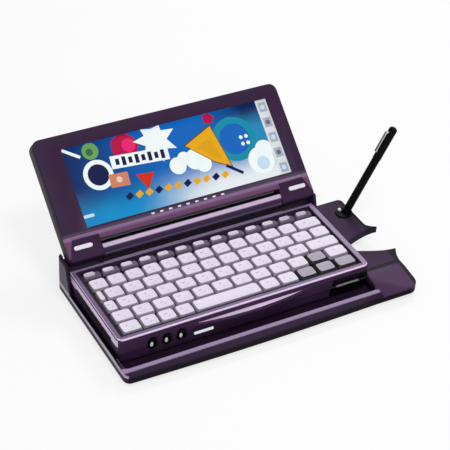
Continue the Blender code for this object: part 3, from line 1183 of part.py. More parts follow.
def make_lid(hinge):
    """The lid, in a frame whose Y runs up the lid and whose Z points out of the screen."""
    back = -LID_BACK_OFFSET
    cover = extrusion("lid_cover", lid_outline(), "Z", back, COVER_FRONT, hinge)
    round_edges_at(cover, (back - COVER_FRONT) / 2, LID_EDGE)
    inner = HALF_CASE - LID_WALL
    cut(cover, box("lid_hollow", (-inner, LID_SKIRT + LID_WALL, back + LID_FLOOR),
                   (inner, LID_TOP - LID_WALL, COVER_FRONT + OVERRUN), hinge))
    for side, word in ((-1, "left"), (1, "right")):
        reach = BARREL_HALF + PIN_LENGTH / 2 + SEAT_GAP
        start = HALF_CASE - EAR_WIDTH - OVERRUN
        cut(cover, cylinder(f"ear_bore_{word}", (side * start, 0.0, 0.0), (side * reach, 0.0, 0.0),
                            PIN_RADIUS + PIN_GAP, hinge, sides=SMALL_SIDES))
    dress(cover, "aubergine_plastic")

    bezel = extrusion("display_bezel", lid_outline(), "Z", BEZEL_BACK, LID_FACE_OFFSET, hinge)
    round_edges_at(bezel, BEZEL_THICKNESS / 2, BEZEL_EDGE, 1)
    low, high = BEZEL_BACK - OVERRUN / 4, LID_FACE_OFFSET + OVERRUN / 4
    cut(bezel, tapered_block("screen_window", (SCREEN_X_LOW, SCREEN_LOW, low),
                             (SCREEN_X_HIGH, SCREEN_HIGH, high), -SCREEN_CHAMFER, 0.0, hinge))
    ridge_end = HALF_CASE - RIDGE_END
    ridge_low = RIDGE_ABOVE_AXIS
    join(bezel, box("bezel_ridge", (-ridge_end, ridge_low, BEZEL_BACK + SEAT_GAP),
                    (ridge_end, ridge_low + RIDGE_WIDTH, LID_FACE_OFFSET + RIDGE_HEIGHT), hinge))
    for side, word in ((-1, "left"), (1, "right")):
        cut(bezel, extrusion(f"bumper_recess_{word}", bumper_outline(side, SEAT_GAP), "Z",
                             LID_FACE_OFFSET - BUMPER_SINK - SEAT_GAP, LID_FACE_OFFSET + OVERRUN, hinge))
        bumper = extrusion(f"bumper_{word}", bumper_outline(side, 0.0), "Z", LID_FACE_OFFSET - BUMPER_SINK,
                           LID_FACE_OFFSET + BUMPER_PROUD, hinge)
        dress(bumper, "rubber")
    dress(bezel, "aubergine_plastic")

    border = GLASS_BORDER
    glass_back = COVER_FRONT - GLASS_THICKNESS
    glass = box("touch_panel", (SCREEN_X_LOW - border, SCREEN_LOW - border, glass_back),
                (SCREEN_X_HIGH + border, SCREEN_HIGH + border, COVER_FRONT), hinge)
    dress(glass, "screen_glass")
    on_floor = back + LID_FLOOR + SEAT_GAP
    side, end = MODULE_BORDER_SIDE, MODULE_BORDER_END
    module = box("lcd_module", (SCREEN_X_LOW - side, SCREEN_LOW - end, on_floor),
                 (SCREEN_X_HIGH + side, SCREEN_HIGH + end, glass_back - SEAT_GAP), hinge)
    dress(module, "module_metal")
    inverter_low = LID_SKIRT + LID_WALL + SEAT_GAP
    inverter = box("backlight_inverter", (-INVERTER_LENGTH / 2, inverter_low, on_floor),
                   (INVERTER_LENGTH / 2, inverter_low + INVERTER_WIDTH, on_floor + INVERTER_THICKNESS), hinge)
    dress(inverter, "circuit_board")


def set_origin(root):
    """Move the whole set so that the origin is the bottom centre of everything."""
    view = bpy.context.evaluated_depsgraph_get()
    corners = []
    for piece in PIECES.objects:
        solid = piece.evaluated_get(view)
        corners += [solid.matrix_world @ vertex.co for vertex in solid.data.vertices]
    low = [min(corner[i] for corner in corners) for i in range(3)]
    high = [max(corner[i] for corner in corners) for i in range(3)]
    root.location = (-(low[0] + high[0]) / 2, -(low[1] + high[1]) / 2, -low[2])


def build():
    """Make every piece under one frame, then set the origin."""
    root = empty("set_frame")
    hand = empty("handheld_frame", root)
    hinge = empty("lid_hinge_axis", hand, (0.0, HINGE_Y, HINGE_Z), (LID_TILT, 0.0, 0.0))
    make_cradle(root)
    make_base_plate(root)
    make_cradle_electronics(root)
    make_feet(root)
    make_pen_socket(root)
    make_pen(root)
    make_lower_case(hand)
    make_upper_case(hand)
    make_front_controls(hand)
    make_inside(hand)
    make_stylus(hand)
    make_keyboard(hand)
    make_hinge(hand)
    make_lid(hinge)
    set_origin(root)


build()
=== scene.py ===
"""The looks of the handheld computer that sits in its docking cradle.

Metres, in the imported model's own frame. Places on the case are measured from the middle of its width, from
the front edge of its deck and from the table, as in the CAD source.
"""

import json
import math

import bmesh
import bpy
from mathutils import Matrix, Vector


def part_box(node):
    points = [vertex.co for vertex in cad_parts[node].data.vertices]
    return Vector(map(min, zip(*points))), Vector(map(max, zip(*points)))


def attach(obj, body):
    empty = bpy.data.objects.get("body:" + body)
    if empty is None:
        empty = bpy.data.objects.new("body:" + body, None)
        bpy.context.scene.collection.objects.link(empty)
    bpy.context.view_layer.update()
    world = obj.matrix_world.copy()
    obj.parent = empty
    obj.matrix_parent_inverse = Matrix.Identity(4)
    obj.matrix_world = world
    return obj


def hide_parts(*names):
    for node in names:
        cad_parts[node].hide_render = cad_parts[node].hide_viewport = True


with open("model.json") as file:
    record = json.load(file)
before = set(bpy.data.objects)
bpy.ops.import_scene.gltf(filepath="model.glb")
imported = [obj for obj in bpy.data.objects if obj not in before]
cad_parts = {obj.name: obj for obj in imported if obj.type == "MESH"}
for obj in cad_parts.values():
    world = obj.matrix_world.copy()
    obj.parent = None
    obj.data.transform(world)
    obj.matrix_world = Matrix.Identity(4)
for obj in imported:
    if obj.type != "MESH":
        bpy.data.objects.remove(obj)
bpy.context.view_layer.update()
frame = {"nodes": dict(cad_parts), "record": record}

# Main places, read from the frame
CASE_LOW, CASE_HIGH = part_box("upper_case")
CASE_DEPTH = 0.086
MIDDLE_X = (CASE_LOW.x + CASE_HIGH.x) / 2
DECK_FRONT_Y = CASE_HIGH.y - CASE_DEPTH
DECK_TOP = CASE_HIGH.z
HALF_CASE = (CASE_HIGH.x - CASE_LOW.x) / 2

# The lid's frame: its Y runs up the lid and its Z points out of the screen
HINGE_Y = 0.0824
HINGE_Z = 0.0315
LID_TILT = math.radians(40.0)

# The camera, fitted to the photograph
IMAGE_PIXELS = 450
FOCAL_PIXELS = 1497.284
SENSOR_WIDTH = 36.0
CAMERA_AZIMUTH = math.radians(-30.240)
CAMERA_ELEVATION = math.radians(36.919)
CAMERA_ROLL = math.radians(3.403)
CAMERA_DISTANCE = 0.98554
CAMERA_RIGHT = -0.015834
CAMERA_UP = 0.050249
AIM_HEIGHT = 0.024

# Mesh clean-up and edge rounding
WELD = 0.000002
SLIVER = 0.00001
ACUTE_ANGLE = math.radians(125.0)
FLAT_ANGLE = math.radians(0.8)
BEVEL_ANGLE = math.radians(32.0)
SHARP_ANGLE = math.radians(38.0)
FOLD_ANGLE = math.radians(150.0)
SPECK = 0.00000001
EDGE_SEGMENTS = 3
LINE_UPRIGHT = 0.30
REPAIR_ROUNDS = 16
REPAIR_REACH = 0.0009
EASINGS = 2

# Keys: places in the well, as shares of each row
WELL_HALF = HALF_CASE - 0.0050
WELL_FRONT = 0.0044
WELL_BACK = CASE_DEPTH - 0.0130
KEYS_LEFT = -WELL_HALF + 0.0010
KEYS_FRONT = WELL_FRONT + 0.0010
KEY_GAP = 0.0008
KEY_TOP = DECK_TOP - 0.0001
SOFT_KEY_COUNT = 13
SOFT_KEY_DEPTH = 0.0066
SOFT_KEY_GAP = 0.0018
DIGIT_ROW_SHARES = [(1.0, "escape")] + [(1.0, None)] * 11 + [(1.5, "backspace")]
TOP_ROW_SHARES = [(0.4, None), (0.95, "tab")] + [(1.0, None)] * 10 + [(1.0, "delete")]
HOME_ROW_SHARES = [(0.63, "caps")] + [(1.0, None)] * 10 + [(1.68, "enter")]
LOW_ROW_SHARES = ([(1.02, "left_shift")] + [(1.0, None)] * 9
                  + [(1.02, "up_arrow"), (1.12, "right_shift")])
SPACE_ROW_SHARES = [(1.04, "control"), (0.9, "function"), (0.88, "alt"), (0.9, None),
                    (3.5, "space"), (1.0, None), (1.0, None), (1.04, "left_arrow"),
                    (1.04, "down_arrow"), (1.14, "right_arrow")]
KEY_ROWS = [DIGIT_ROW_SHARES, TOP_ROW_SHARES, HOME_ROW_SHARES, LOW_ROW_SHARES, SPACE_ROW_SHARES]

# Colours, as linear red, green and blue
AUBERGINE = (0.050, 0.024, 0.064)
# Near black, which the fades use for painted shade and for the dark top of the cradle's left rim
AUBERGINE_DARK = (0.007, 0.004, 0.009)
# Pale lavender for painted highlights on edges and on the hinge barrel
AUBERGINE_HIGHLIGHT = (0.74, 0.56, 0.80)
BEZEL_PLUM = (0.039, 0.019, 0.048)
NEAR_BLACK = (0.006, 0.005, 0.007)
KEY_LAVENDER = (0.71, 0.65, 0.77)
# Key sides, darker than the tops as painted shade
KEY_SIDE_SHADE = (0.33, 0.28, 0.36)
ARROW_GREY = (0.33, 0.29, 0.36)
GLOSS_BLACK = (0.004, 0.004, 0.005)
RUBBER_BLACK = (0.012, 0.011, 0.013)
STEEL_GREY = (0.58, 0.58, 0.60)
GOLD = (0.78, 0.56, 0.22)
BOARD_GREEN = (0.015, 0.13, 0.055)
WRAP_BLUE = (0.04, 0.05, 0.09)
LENS_WHITE = (0.86, 0.88, 0.93)
# Pale bumper colour, a painted highlight on the black rubber bumpers
BUMPER_HIGHLIGHT = (0.78, 0.73, 0.82)
SCREEN_NAVY = (0.004, 0.016, 0.095)
SCREEN_BLUE = (0.003, 0.130, 0.500)
SCREEN_CYAN = (0.006, 0.270, 0.580)
SCREEN_TEAL = (0.020, 0.250, 0.500)
SCREEN_WHITE = (0.82, 0.88, 0.90)


def at(x, y, z):
    """A point of the case, in the row frame."""
    return Vector((MIDDLE_X + x, DECK_FRONT_Y + y, z))


LID_FRAME = Matrix.Translation(at(0.0, HINGE_Y, HINGE_Z)) @ Matrix.Rotation(LID_TILT, 4, "X")


def lid_box(node):
    """A lid node's lowest and highest corners in the lid's own frame."""
    inverse = LID_FRAME.inverted()
    points = [inverse @ vertex.co for vertex in frame["nodes"][node].data.vertices]
    low = Vector([min(point[i] for point in points) for i in range(3)])
    high = Vector([max(point[i] for point in points) for i in range(3)])
    return low, high


# Materials

def new_material(name):
    """An empty node material and its shader."""
    material = bpy.data.materials.new(name)
    material.use_nodes = True
    return material, material.node_tree, material.node_tree.nodes["Principled BSDF"]


def noise(tree, scale, detail=3.0, stretch=(1.0, 1.0, 1.0)):
    """Noise in the piece's own space; scale counts its cells per metre."""
    place = tree.nodes.new("ShaderNodeTexCoord")
    mapping = tree.nodes.new("ShaderNodeMapping")
    mapping.inputs["Scale"].default_value = stretch
    tree.links.new(place.outputs["Object"], mapping.inputs["Vector"])
    texture = tree.nodes.new("ShaderNodeTexNoise")
    texture.inputs["Scale"].default_value = scale
    texture.inputs["Detail"].default_value = detail
    tree.links.new(mapping.outputs["Vector"], texture.inputs["Vector"])
    return texture.outputs["Fac"]


def between(tree, factor, low, high):
    """A number that runs from low to high with factor."""
    node = tree.nodes.new("ShaderNodeMapRange")
    node.inputs["From Min"].default_value = 0.3
    node.inputs["From Max"].default_value = 0.7
    node.inputs["To Min"].default_value = low
    node.inputs["To Max"].default_value = high
    tree.links.new(factor, node.inputs["Value"])
    return node.outputs["Result"]


def mixed(tree, factor, first, second):
    """A colour between first and second, each a colour or a socket."""
    node = tree.nodes.new("ShaderNodeMix")
    node.data_type = "RGBA"
    tree.links.new(factor, node.inputs["Factor"])
    for socket, value in ((node.inputs[6], first), (node.inputs[7], second)):
        if isinstance(value, tuple):
            socket.default_value = (*value, 1.0)
        else:
            tree.links.new(value, socket)
    return node.outputs[2]


def tinted(colour, share):
    """The colour, darker or lighter by a share."""
    return tuple(min(1.0, part * share) for part in colour)


def along(tree, direction):
    """How far a point of the piece's own space lies along a direction, in metres."""
    place = tree.nodes.new("ShaderNodeTexCoord")
    dot = tree.nodes.new("ShaderNodeVectorMath")
    dot.operation = "DOT_PRODUCT"
    dot.inputs[1].default_value = direction
    tree.links.new(place.outputs["Object"], dot.inputs[0])
    return dot.outputs["Value"]


def faded(tree, base, toned, direction, start, end):
    """The base colour, which turns into toned from start to end along a direction."""
    fade = tree.nodes.new("ShaderNodeMapRange")
    fade.interpolation_type = "SMOOTHSTEP"
    fade.inputs["From Min"].default_value = start
    fade.inputs["From Max"].default_value = end
    tree.links.new(along(tree, direction), fade.inputs["Value"])
    return mixed(tree, fade.outputs["Result"], base, toned)


def grained(name, colour, roughness, grain=0.00035, depth=0.00003, mottle=0.08, metallic=0.0,
            stretch=(1.0, 1.0, 1.0), specular=0.5, fades=()):
    """A moulded or rolled surface: fine grain, soft mottling, uneven gloss and fades towards other tones,
    which paint light and shade on several finishes.
    """
    material, tree, shader = new_material(name)
    patches = noise(tree, 90.0, 4.0, stretch)
    base = mixed(tree, patches, tinted(colour, 1.0 - mottle), tinted(colour, 1.0 + mottle))
    for toned, direction, start, end in fades:
        base = faded(tree, base, toned, direction, start, end)
    tree.links.new(base, shader.inputs["Base Color"])
    fine = noise(tree, 1.0 / grain, 2.0, stretch)
    tree.links.new(between(tree, fine, roughness * 0.85, roughness * 1.15), shader.inputs["Roughness"])
    bump = tree.nodes.new("ShaderNodeBump")
    bump.inputs["Strength"].default_value = 0.25
    bump.inputs["Distance"].default_value = depth
    tree.links.new(fine, bump.inputs["Height"])
    tree.links.new(bump.outputs["Normal"], shader.inputs["Normal"])
    shader.inputs["Metallic"].default_value = metallic
    shader.inputs["Specular IOR Level"].default_value = specular
    return material


def lit(name, colour, strength=0.80):
    """A colour of the screen picture, with the display's fine rows."""
    material, tree, shader = new_material(name)
    place = tree.nodes.new("ShaderNodeTexCoord")
    rows = tree.nodes.new("ShaderNodeTexWave")
    rows.bands_direction = "Z"
    rows.inputs["Scale"].default_value = 400.0
    tree.links.new(place.outputs["Object"], rows.inputs["Vector"])
    shade = mixed(tree, rows.outputs["Fac"], tinted(colour, 0.93), tinted(colour, 1.04))
    tree.links.new(mixed(tree, rows.outputs["Fac"], tinted(colour, 0.28), tinted(colour, 0.32)),
                   shader.inputs["Base Color"])
    tree.links.new(shade, shader.inputs["Emission Color"])
    shader.inputs["Emission Strength"].default_value = strength
    shader.inputs["Roughness"].default_value = 0.30
    shader.inputs["Specular IOR Level"].default_value = 0.06
    return material


def screen_ground(name):
    """The picture's ground: deep blue left and above, cyan low at the left, white low at the right."""
    material, tree, shader = new_material(name)
    place = tree.nodes.new("ShaderNodeTexCoord")
    turn = tree.nodes.new("ShaderNodeMapping")
    turn.vector_type = "TEXTURE"
    turn.inputs["Location"].default_value = LID_FRAME.translation
    turn.inputs["Rotation"].default_value = (LID_TILT, 0.0, 0.0)
    tree.links.new(place.outputs["Object"], turn.inputs["Vector"])
    split = tree.nodes.new("ShaderNodeSeparateXYZ")
    tree.links.new(turn.outputs["Vector"], split.inputs["Vector"])
    ripple = tree.nodes.new("ShaderNodeTexNoise")
    ripple.inputs["Scale"].default_value = 45.0
    ripple.inputs["Detail"].default_value = 3.0
    tree.links.new(turn.outputs["Vector"], ripple.inputs["Vector"])

    def span(socket, low, high):
        node = tree.nodes.new("ShaderNodeMapRange")
        node.interpolation_type = "SMOOTHSTEP"
        node.inputs["From Min"].default_value = low
        node.inputs["From Max"].default_value = high
        tree.links.new(socket, node.inputs["Value"])
        return node.outputs["Result"]

    def plus_ripple(socket, share):
        node = tree.nodes.new("ShaderNodeMath")
        node.operation = "MULTIPLY_ADD"
        node.inputs[1].default_value = share
        tree.links.new(ripple.outputs["Fac"], node.inputs[0])
        tree.links.new(socket, node.inputs[2])
        return node.outputs["Value"]

    height = plus_ripple(split.outputs["Y"], 0.012)
    across = plus_ripple(split.outputs["X"], 0.030)
    sky = mixed(tree, span(across, -0.075, 0.020), SCREEN_NAVY, SCREEN_BLUE)
    right_top = mixed(tree, span(height, 0.058, 0.076), SCREEN_TEAL, SCREEN_NAVY)
    sky = mixed(tree, span(across, 0.045, 0.080), sky, right_top)
    low_part = mixed(tree, span(across, -0.020, 0.045), SCREEN_CYAN, SCREEN_WHITE)
    low_part = mixed(tree, span(across, -0.090, -0.045), SCREEN_BLUE, low_part)
    ground = mixed(tree, span(height, 0.024, 0.050), low_part, sky)
    tree.links.new(mixed(tree, ripple.outputs["Fac"], (0.002, 0.004, 0.010), (0.004, 0.006, 0.014)),
                   shader.inputs["Base Color"])
    tree.links.new(ground, shader.inputs["Emission Color"])
    shader.inputs["Emission Strength"].default_value = 0.95
    shader.inputs["Roughness"].default_value = 0.25
    shader.inputs["Specular IOR Level"].default_value = 0.06
    return material


BARREL_RADIUS = 0.0057


def barrel_highlight_band(rise, half_width):
    """The direction of a painted highlight band along the barrel, by its rise from the front, and its start
    along it.
    """
    direction = Vector((0.0, -math.cos(math.radians(rise)), math.sin(math.radians(rise))))
    axis = at(0.0, HINGE_Y, HINGE_Z)
    return tuple(direction), axis.dot(direction) + BARREL_RADIUS * math.cos(math.radians(half_width))


# Two painted highlight bands along the barrel
UPPER_HIGHLIGHT, UPPER_HIGHLIGHT_START = barrel_highlight_band(62.5, 16.0)
LOWER_HIGHLIGHT, LOWER_HIGHLIGHT_START = barrel_highlight_band(4.0, 11.0)
DOWN_THE_LID = (0.0, -math.cos(LID_TILT), -math.sin(LID_TILT))
LID_START = LID_FRAME.translation.dot(Vector(DOWN_THE_LID))

FINISH = {
    "aubergine_plastic": grained("aubergine_moulding", AUBERGINE, 0.36, specular=0.05),
    # The cradle: a pale painted highlight along the lip's crest, painted shade on the lip's outer slope and
    # near-black painted shade low down
    "cradle_plastic": grained("cradle_plastic_with_painted_light_and_shade", tinted(AUBERGINE, 0.75), 0.36, specular=0.05,
                              fades=[((0.31, 0.23, 0.37), (0.0, -1.0, 0.0),
                                      0.0100 - DECK_FRONT_Y, 0.0112 - DECK_FRONT_Y),
                                     (tinted(AUBERGINE, 0.50), (0.0, -1.0, 0.0),
                                      0.0138 - DECK_FRONT_Y, 0.0151 - DECK_FRONT_Y),
                                     (AUBERGINE_DARK, (0.0, 0.0, -1.0), -0.0078, -0.0066)]),
    # The block: painted shade in a dark band behind its front slope, the front slope lighter as painted
    # light, and painted shade along its right edge and low down
    "block_plastic": grained("block_plastic_with_painted_light_and_shade", tinted(AUBERGINE, 0.72), 0.36, specular=0.05,
                             fades=[(AUBERGINE_DARK, (0.0, -1.0, 0.0), -0.0092 - DECK_FRONT_Y,
                                     -0.0072 - DECK_FRONT_Y),
                                    (tinted(AUBERGINE, 1.25), (0.0, -1.0, 0.0), -0.0056 - DECK_FRONT_Y,
                                     -0.0040 - DECK_FRONT_Y),
                                    (AUBERGINE_DARK, (1.0, 0.0, 0.0), MIDDLE_X + 0.1212, MIDDLE_X + 0.1232),
                                    (AUBERGINE_DARK, (0.0, 0.0, -1.0), -0.0080, -0.0066)]),
    # Painted shade in the tray, on the up-facing faces at its front and on the notch's far wall
    "tray_painted_shade": grained("tray_floor_painted_shade", tinted(AUBERGINE, 0.35), 0.40, specular=0.04),
    # The left rim's outside: a lighter, greyer copy of the plastic as painted light, a pale painted highlight
    # band below its top, painted shade lower down and near black at its foot; near black from 27 mm up
    "rim_plastic": grained("rim_side_painted_light_and_shade", (0.085, 0.075, 0.092), 0.36, specular=0.05,
                           fades=[(AUBERGINE_DARK, (0.0, 0.0, 1.0), 0.0270, 0.0285),
                                  ((0.52, 0.43, 0.60), (0.0, 0.0, -1.0), -0.0102, -0.0096),
                                  ((0.022, 0.014, 0.028), (0.0, 0.0, -1.0), -0.0074, -0.0066),
                                  (AUBERGINE_DARK, (0.0, 0.0, -1.0), -0.0032, -0.0022)]),
    # Lighter copies of the case plastic on the deck's rims and rear strip, as painted light
    "deck_rim_painted_light": grained("deck_rim_painted_light", (0.170, 0.110, 0.215), 0.34, specular=0.15),
    "deck_margin_painted_light": grained("deck_margin_painted_light", (0.290, 0.215, 0.360), 0.34, specular=0.10),
    # The lid's back shell: a darker copy of the case plastic, as painted shade
    "lid_plastic": grained("lid_painted_shade", tinted(AUBERGINE, 0.5), 0.38, specular=0.05),
    # Painted highlights on rounded edges that face up: a pale one and a softer one
    "pale_line": grained("painted_edge_highlight", AUBERGINE_HIGHLIGHT, 0.28, mottle=0.12, depth=0.00001, specular=0.5),
    "soft_line": grained("painted_soft_edge_highlight", tinted(AUBERGINE_HIGHLIGHT, 0.28), 0.30, mottle=0.12, depth=0.00001,
                         specular=0.4),
    # The hinge barrel: a pale painted highlight along its upper side, a thin lighter painted highlight low at
    # its front, and near-black painted shade behind and below its axis
    "barrel_plastic": grained("barrel_painted_light_and_shade", (0.035, 0.018, 0.052), 0.24, depth=0.000008, specular=0.15,
                              fades=[(tinted(AUBERGINE_HIGHLIGHT, 0.80), UPPER_HIGHLIGHT,
                                      UPPER_HIGHLIGHT_START - 0.0002, UPPER_HIGHLIGHT_START + 0.0001),
                                     (AUBERGINE_DARK, (0.0, 1.0, 0.0), DECK_FRONT_Y + HINGE_Y - 0.0012,
                                      DECK_FRONT_Y + HINGE_Y - 0.0004),
                                     (AUBERGINE_DARK, (0.0, 0.0, -1.0), 0.0012 - HINGE_Z, 0.0020 - HINGE_Z),
                                     ((0.115, 0.070, 0.150), LOWER_HIGHLIGHT,
                                      LOWER_HIGHLIGHT_START - 0.00003, LOWER_HIGHLIGHT_START + 0.00003)]),
    # The bezel's foot below the screen: a lighter painted tone from the screen down, a bright painted
    # highlight band on the ridge's top and a paler painted tone below it
    "bezel_plastic": grained("bezel_with_painted_highlights", BEZEL_PLUM, 0.40, specular=0.04,
                             fades=[((0.072, 0.055, 0.100), DOWN_THE_LID, LID_START - 0.0150,
                                     LID_START - 0.0130),
                                    ((0.243, 0.140, 0.260), DOWN_THE_LID, LID_START - 0.0124,
                                     LID_START - 0.0117),
                                    ((0.146, 0.063, 0.140), DOWN_THE_LID, LID_START - 0.0100,
                                     LID_START - 0.0088)]),
    "ear_plastic": grained("lid_ear_moulding", BEZEL_PLUM, 0.40, specular=0.04),
    # Near black for dark parts; also painted shade on the lid's foot and on the cradle's left rim
    "dark_plastic": grained("dark_moulding", NEAR_BLACK, 0.42, specular=0.04),
    "key_plastic": grained("key_moulding", KEY_LAVENDER, 0.45, mottle=0.03, depth=0.00001, specular=0.3),
    # Key and arrow sides, darker than their tops as painted shade; the grey one is also the stylus mouth's
    # painted highlight bar
    "key_skirt": grained("key_skirt_shade_and_stylus_highlight", KEY_SIDE_SHADE, 0.50, mottle=0.03, depth=0.00001, specular=0.2),
    "arrow_plastic": grained("arrow_key_moulding", ARROW_GREY, 0.45, mottle=0.04, depth=0.00001,
                             specular=0.3),
    "arrow_skirt": grained("arrow_skirt_painted_shade", tinted(ARROW_GREY, 0.03), 0.50, depth=0.00001,
                           specular=0.2),
    "gloss_black": grained("glossy_black", GLOSS_BLACK, 0.24, depth=0.000004, specular=0.04),
    # White for the bezel's marks, and for painted glints on the front buttons and beside the pen
    "white_mark": grained("white_print_and_painted_glint", (0.80, 0.77, 0.84), 0.25, mottle=0.02, depth=0.000004),
    "key_mark": grained("key_print", (0.30, 0.26, 0.34), 0.45, depth=0.000004, specular=0.2),
    "soft_key_plate": grained("soft_key_plate", (0.16, 0.12, 0.19), 0.40, specular=0.2),
    "key_bed": grained("key_bed_film", (0.006, 0.004, 0.008), 0.55, specular=0.1),
    # The bumpers' pale colour is a painted highlight
    "rubber_painted_highlight": grained("rubber_painted_highlight", BUMPER_HIGHLIGHT, 0.5, specular=0.3),
    "rubber": grained("black_rubber", RUBBER_BLACK, 0.80, grain=0.0005, depth=0.00006, specular=0.2),
    "screen_glass": screen_ground("screen_picture_ground"),
    "module_metal": grained("pressed_metal", STEEL_GREY, 0.40, metallic=1.0, stretch=(1.0, 8.0, 8.0)),
    "circuit_board": grained("board_laminate", BOARD_GREEN, 0.35, grain=0.0011, depth=0.00003, mottle=0.25),
    "battery_wrap": grained("battery_sleeve", WRAP_BLUE, 0.38, grain=0.0012),
    "steel": grained("bright_steel", STEEL_GREY, 0.20, metallic=1.0, stretch=(1.0, 1.0, 6.0), depth=0.000006),
    "light_lens": lit("light_bar", LENS_WHITE, 0.75),
    "contact_gold": grained("gold_contacts", GOLD, 0.28, metallic=1.0, depth=0.000006),
}


def finish_frame():
    """Every CAD node gets the finish of its slot."""
    slots = {part["node"]: part["material_slot"] for part in frame["record"]["subparts"]}
    for name, piece in frame["nodes"].items():
        piece.data.materials.clear()
        piece.data.materials.append(FINISH[slots[name]])
    return slots


SLOTS = finish_frame()


# Pieces

def new_piece(name, mesh, body, slot, nodes=(), finishes=None, smooth=True):
    """A finished piece that rides on a body and may stand for CAD nodes."""
    piece = bpy.data.objects.new(name, mesh)
    bpy.context.scene.collection.objects.link(piece)
    for place, finish in enumerate(finishes or [FINISH[slot]]):
        if place < len(mesh.materials):
            mesh.materials[place] = finish
        else:
            mesh.materials.append(finish)
    if smooth:
        mesh.shade_smooth()
        mesh.set_sharp_from_angle(angle=SHARP_ANGLE)
    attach(piece, body)
    if nodes:
        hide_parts(*nodes)
    return piece


def spoilt_corners(mesh):
    """The corners of the faces that fold over or cover themselves."""
    shape = bmesh.new()
    shape.from_mesh(mesh)
    spoilt = {face.index for edge in shape.edges if edge.calc_face_angle(0.0) > FOLD_ANGLE
              for face in edge.link_faces if face.calc_area() > SPECK}
    shape.free()
    mesh.calc_loop_triangles()
    covered = {}
    for triangle in mesh.loop_triangles:
        index = triangle.polygon_index
        covered[index] = covered.get(index, 0.0) + triangle.area
        if triangle.area > SPECK and triangle.normal.dot(mesh.polygons[index].normal) < 0.5:
            spoilt.add(index)
    spoilt.update(face.index for face in mesh.polygons if covered[face.index] > face.area * 1.02 + SPECK)
    return [mesh.vertices[corner].co.copy() for index in spoilt for corner in mesh.polygons[index].vertices]


def bevelled(source, width, segments, lined):
    """The mesh with its weighted edges rounded and the normals of its flat faces kept flat."""
    source.shade_smooth()
    holder = bpy.data.objects.new("bevel_holder", source)
    bpy.context.scene.collection.objects.link(holder)
    bevel = holder.modifiers.new("edges", "BEVEL")
    bevel.width = width
    bevel.segments = segments
    bevel.limit_method = "WEIGHT"
    bevel.use_clamp_overlap = False
    bevel.loop_slide = False
    bevel.miter_outer = "MITER_ARC"
    # The rounded faces of lined edges take the second finish, a painted highlight
    bevel.material = 1 if lined else -1
    flatten = holder.modifiers.new("flat_faces", "WEIGHTED_NORMAL")
    flatten.mode = "FACE_AREA"
    flatten.weight = 100
    view = bpy.context.evaluated_depsgraph_get()
    mesh = bpy.data.meshes.new_from_object(holder.evaluated_get(view))
    bpy.data.objects.remove(holder)
    return mesh


def rounded_mesh(node, width, segments=EDGE_SEGMENTS, lined=None, line_width=0.0, cuts=(), paint=None,
                 flat=FLAT_ANGLE, finish_count=1):
    """A copy of a CAD node's mesh with its flat faces whole again and its sharp edges rounded.

    lined says by place which edges are rounded by line_width instead and take the second finish, a painted
    highlight, where they face up. cuts are planes that split the faces that a test picks, and paint gives a
    face's finish from its place, its normal and the finish it has, which puts painted light and shade by
    place. Very acute edges stay sharp, and where the rounding would fold over, the edges around the place are
    rounded less.
    """
    source = frame["nodes"][node].data.copy()
    if "custom_normal" in source.attributes:
        source.attributes.remove(source.attributes["custom_normal"])
    for _ in range(finish_count - 1):
        source.materials.append(None)
    widest = max(width, line_width)
    origin = at(0.0, 0.0, 0.0)
    shape = bmesh.new()
    shape.from_mesh(source)
    bmesh.ops.remove_doubles(shape, verts=shape.verts, dist=WELD)
    bmesh.ops.dissolve_degenerate(shape, dist=SLIVER, edges=shape.edges)
    bmesh.ops.dissolve_limit(shape, angle_limit=flat, verts=shape.verts, edges=shape.edges)
    bmesh.ops.triangulate(shape, faces=[face for face in shape.faces if len(face.verts) > 4],
                          ngon_method="BEAUTY")
    for point, direction, picked in cuts:
        faces = [face for face in shape.faces if picked(face.calc_center_median() - origin, face.normal)]
        edges = {edge for face in faces for edge in face.edges}
        corners = {vert for face in faces for vert in face.verts}
        bmesh.ops.bisect_plane(shape, geom=[*corners, *edges, *faces], plane_co=point, plane_no=direction)
    weight = shape.edges.layers.float.new("bevel_weight_edge")
    acute = {vert for edge in shape.edges for vert in edge.verts if edge.calc_face_angle(0.0) > ACUTE_ANGLE}
    for edge in shape.edges:
        if edge.calc_face_angle(0.0) > BEVEL_ANGLE and not acute.intersection(edge.verts):
            middle = (edge.verts[0].co + edge.verts[1].co) / 2 - origin
            edge[weight] = (line_width if lined and lined(middle) else width) / widest
    eased = {}
    for _ in range(REPAIR_ROUNDS):
        shape.to_mesh(source)
        mesh = bevelled(source, widest, segments, lined)
        corners = spoilt_corners(mesh)
        close = {edge for vert in shape.verts
                 if any((vert.co - corner).length < REPAIR_REACH for corner in corners)
                 for edge in vert.link_edges if edge[weight] > 0.0}
        if not close:
            break
        for edge in close:
            eased[edge] = eased.get(edge, 0) + 1
            edge[weight] = edge[weight] / 2 if eased[edge] <= EASINGS else 0.0
    shape.free()
    mesh.name = node + "_rounded"
    # Lined faces keep the painted highlight only where they face up and lie where lined says
    for face in mesh.polygons:
        place = face.center - origin
        if face.material_index == 1 and not (face.normal.z > LINE_UPRIGHT and lined(place)):
            face.material_index = 0
        if paint:
            face.material_index = paint(place, face.normal, face.material_index)
    return mesh


def rounded_copy(node, name, body, width, finishes=None, **extra):
    """A piece that stands for a CAD node, in the same place and with eased edges."""
    mesh = rounded_mesh(node, width, finish_count=len(finishes or [None]), **extra)
    return new_piece(name, mesh, body, SLOTS[node], (node,), finishes, smooth=False)


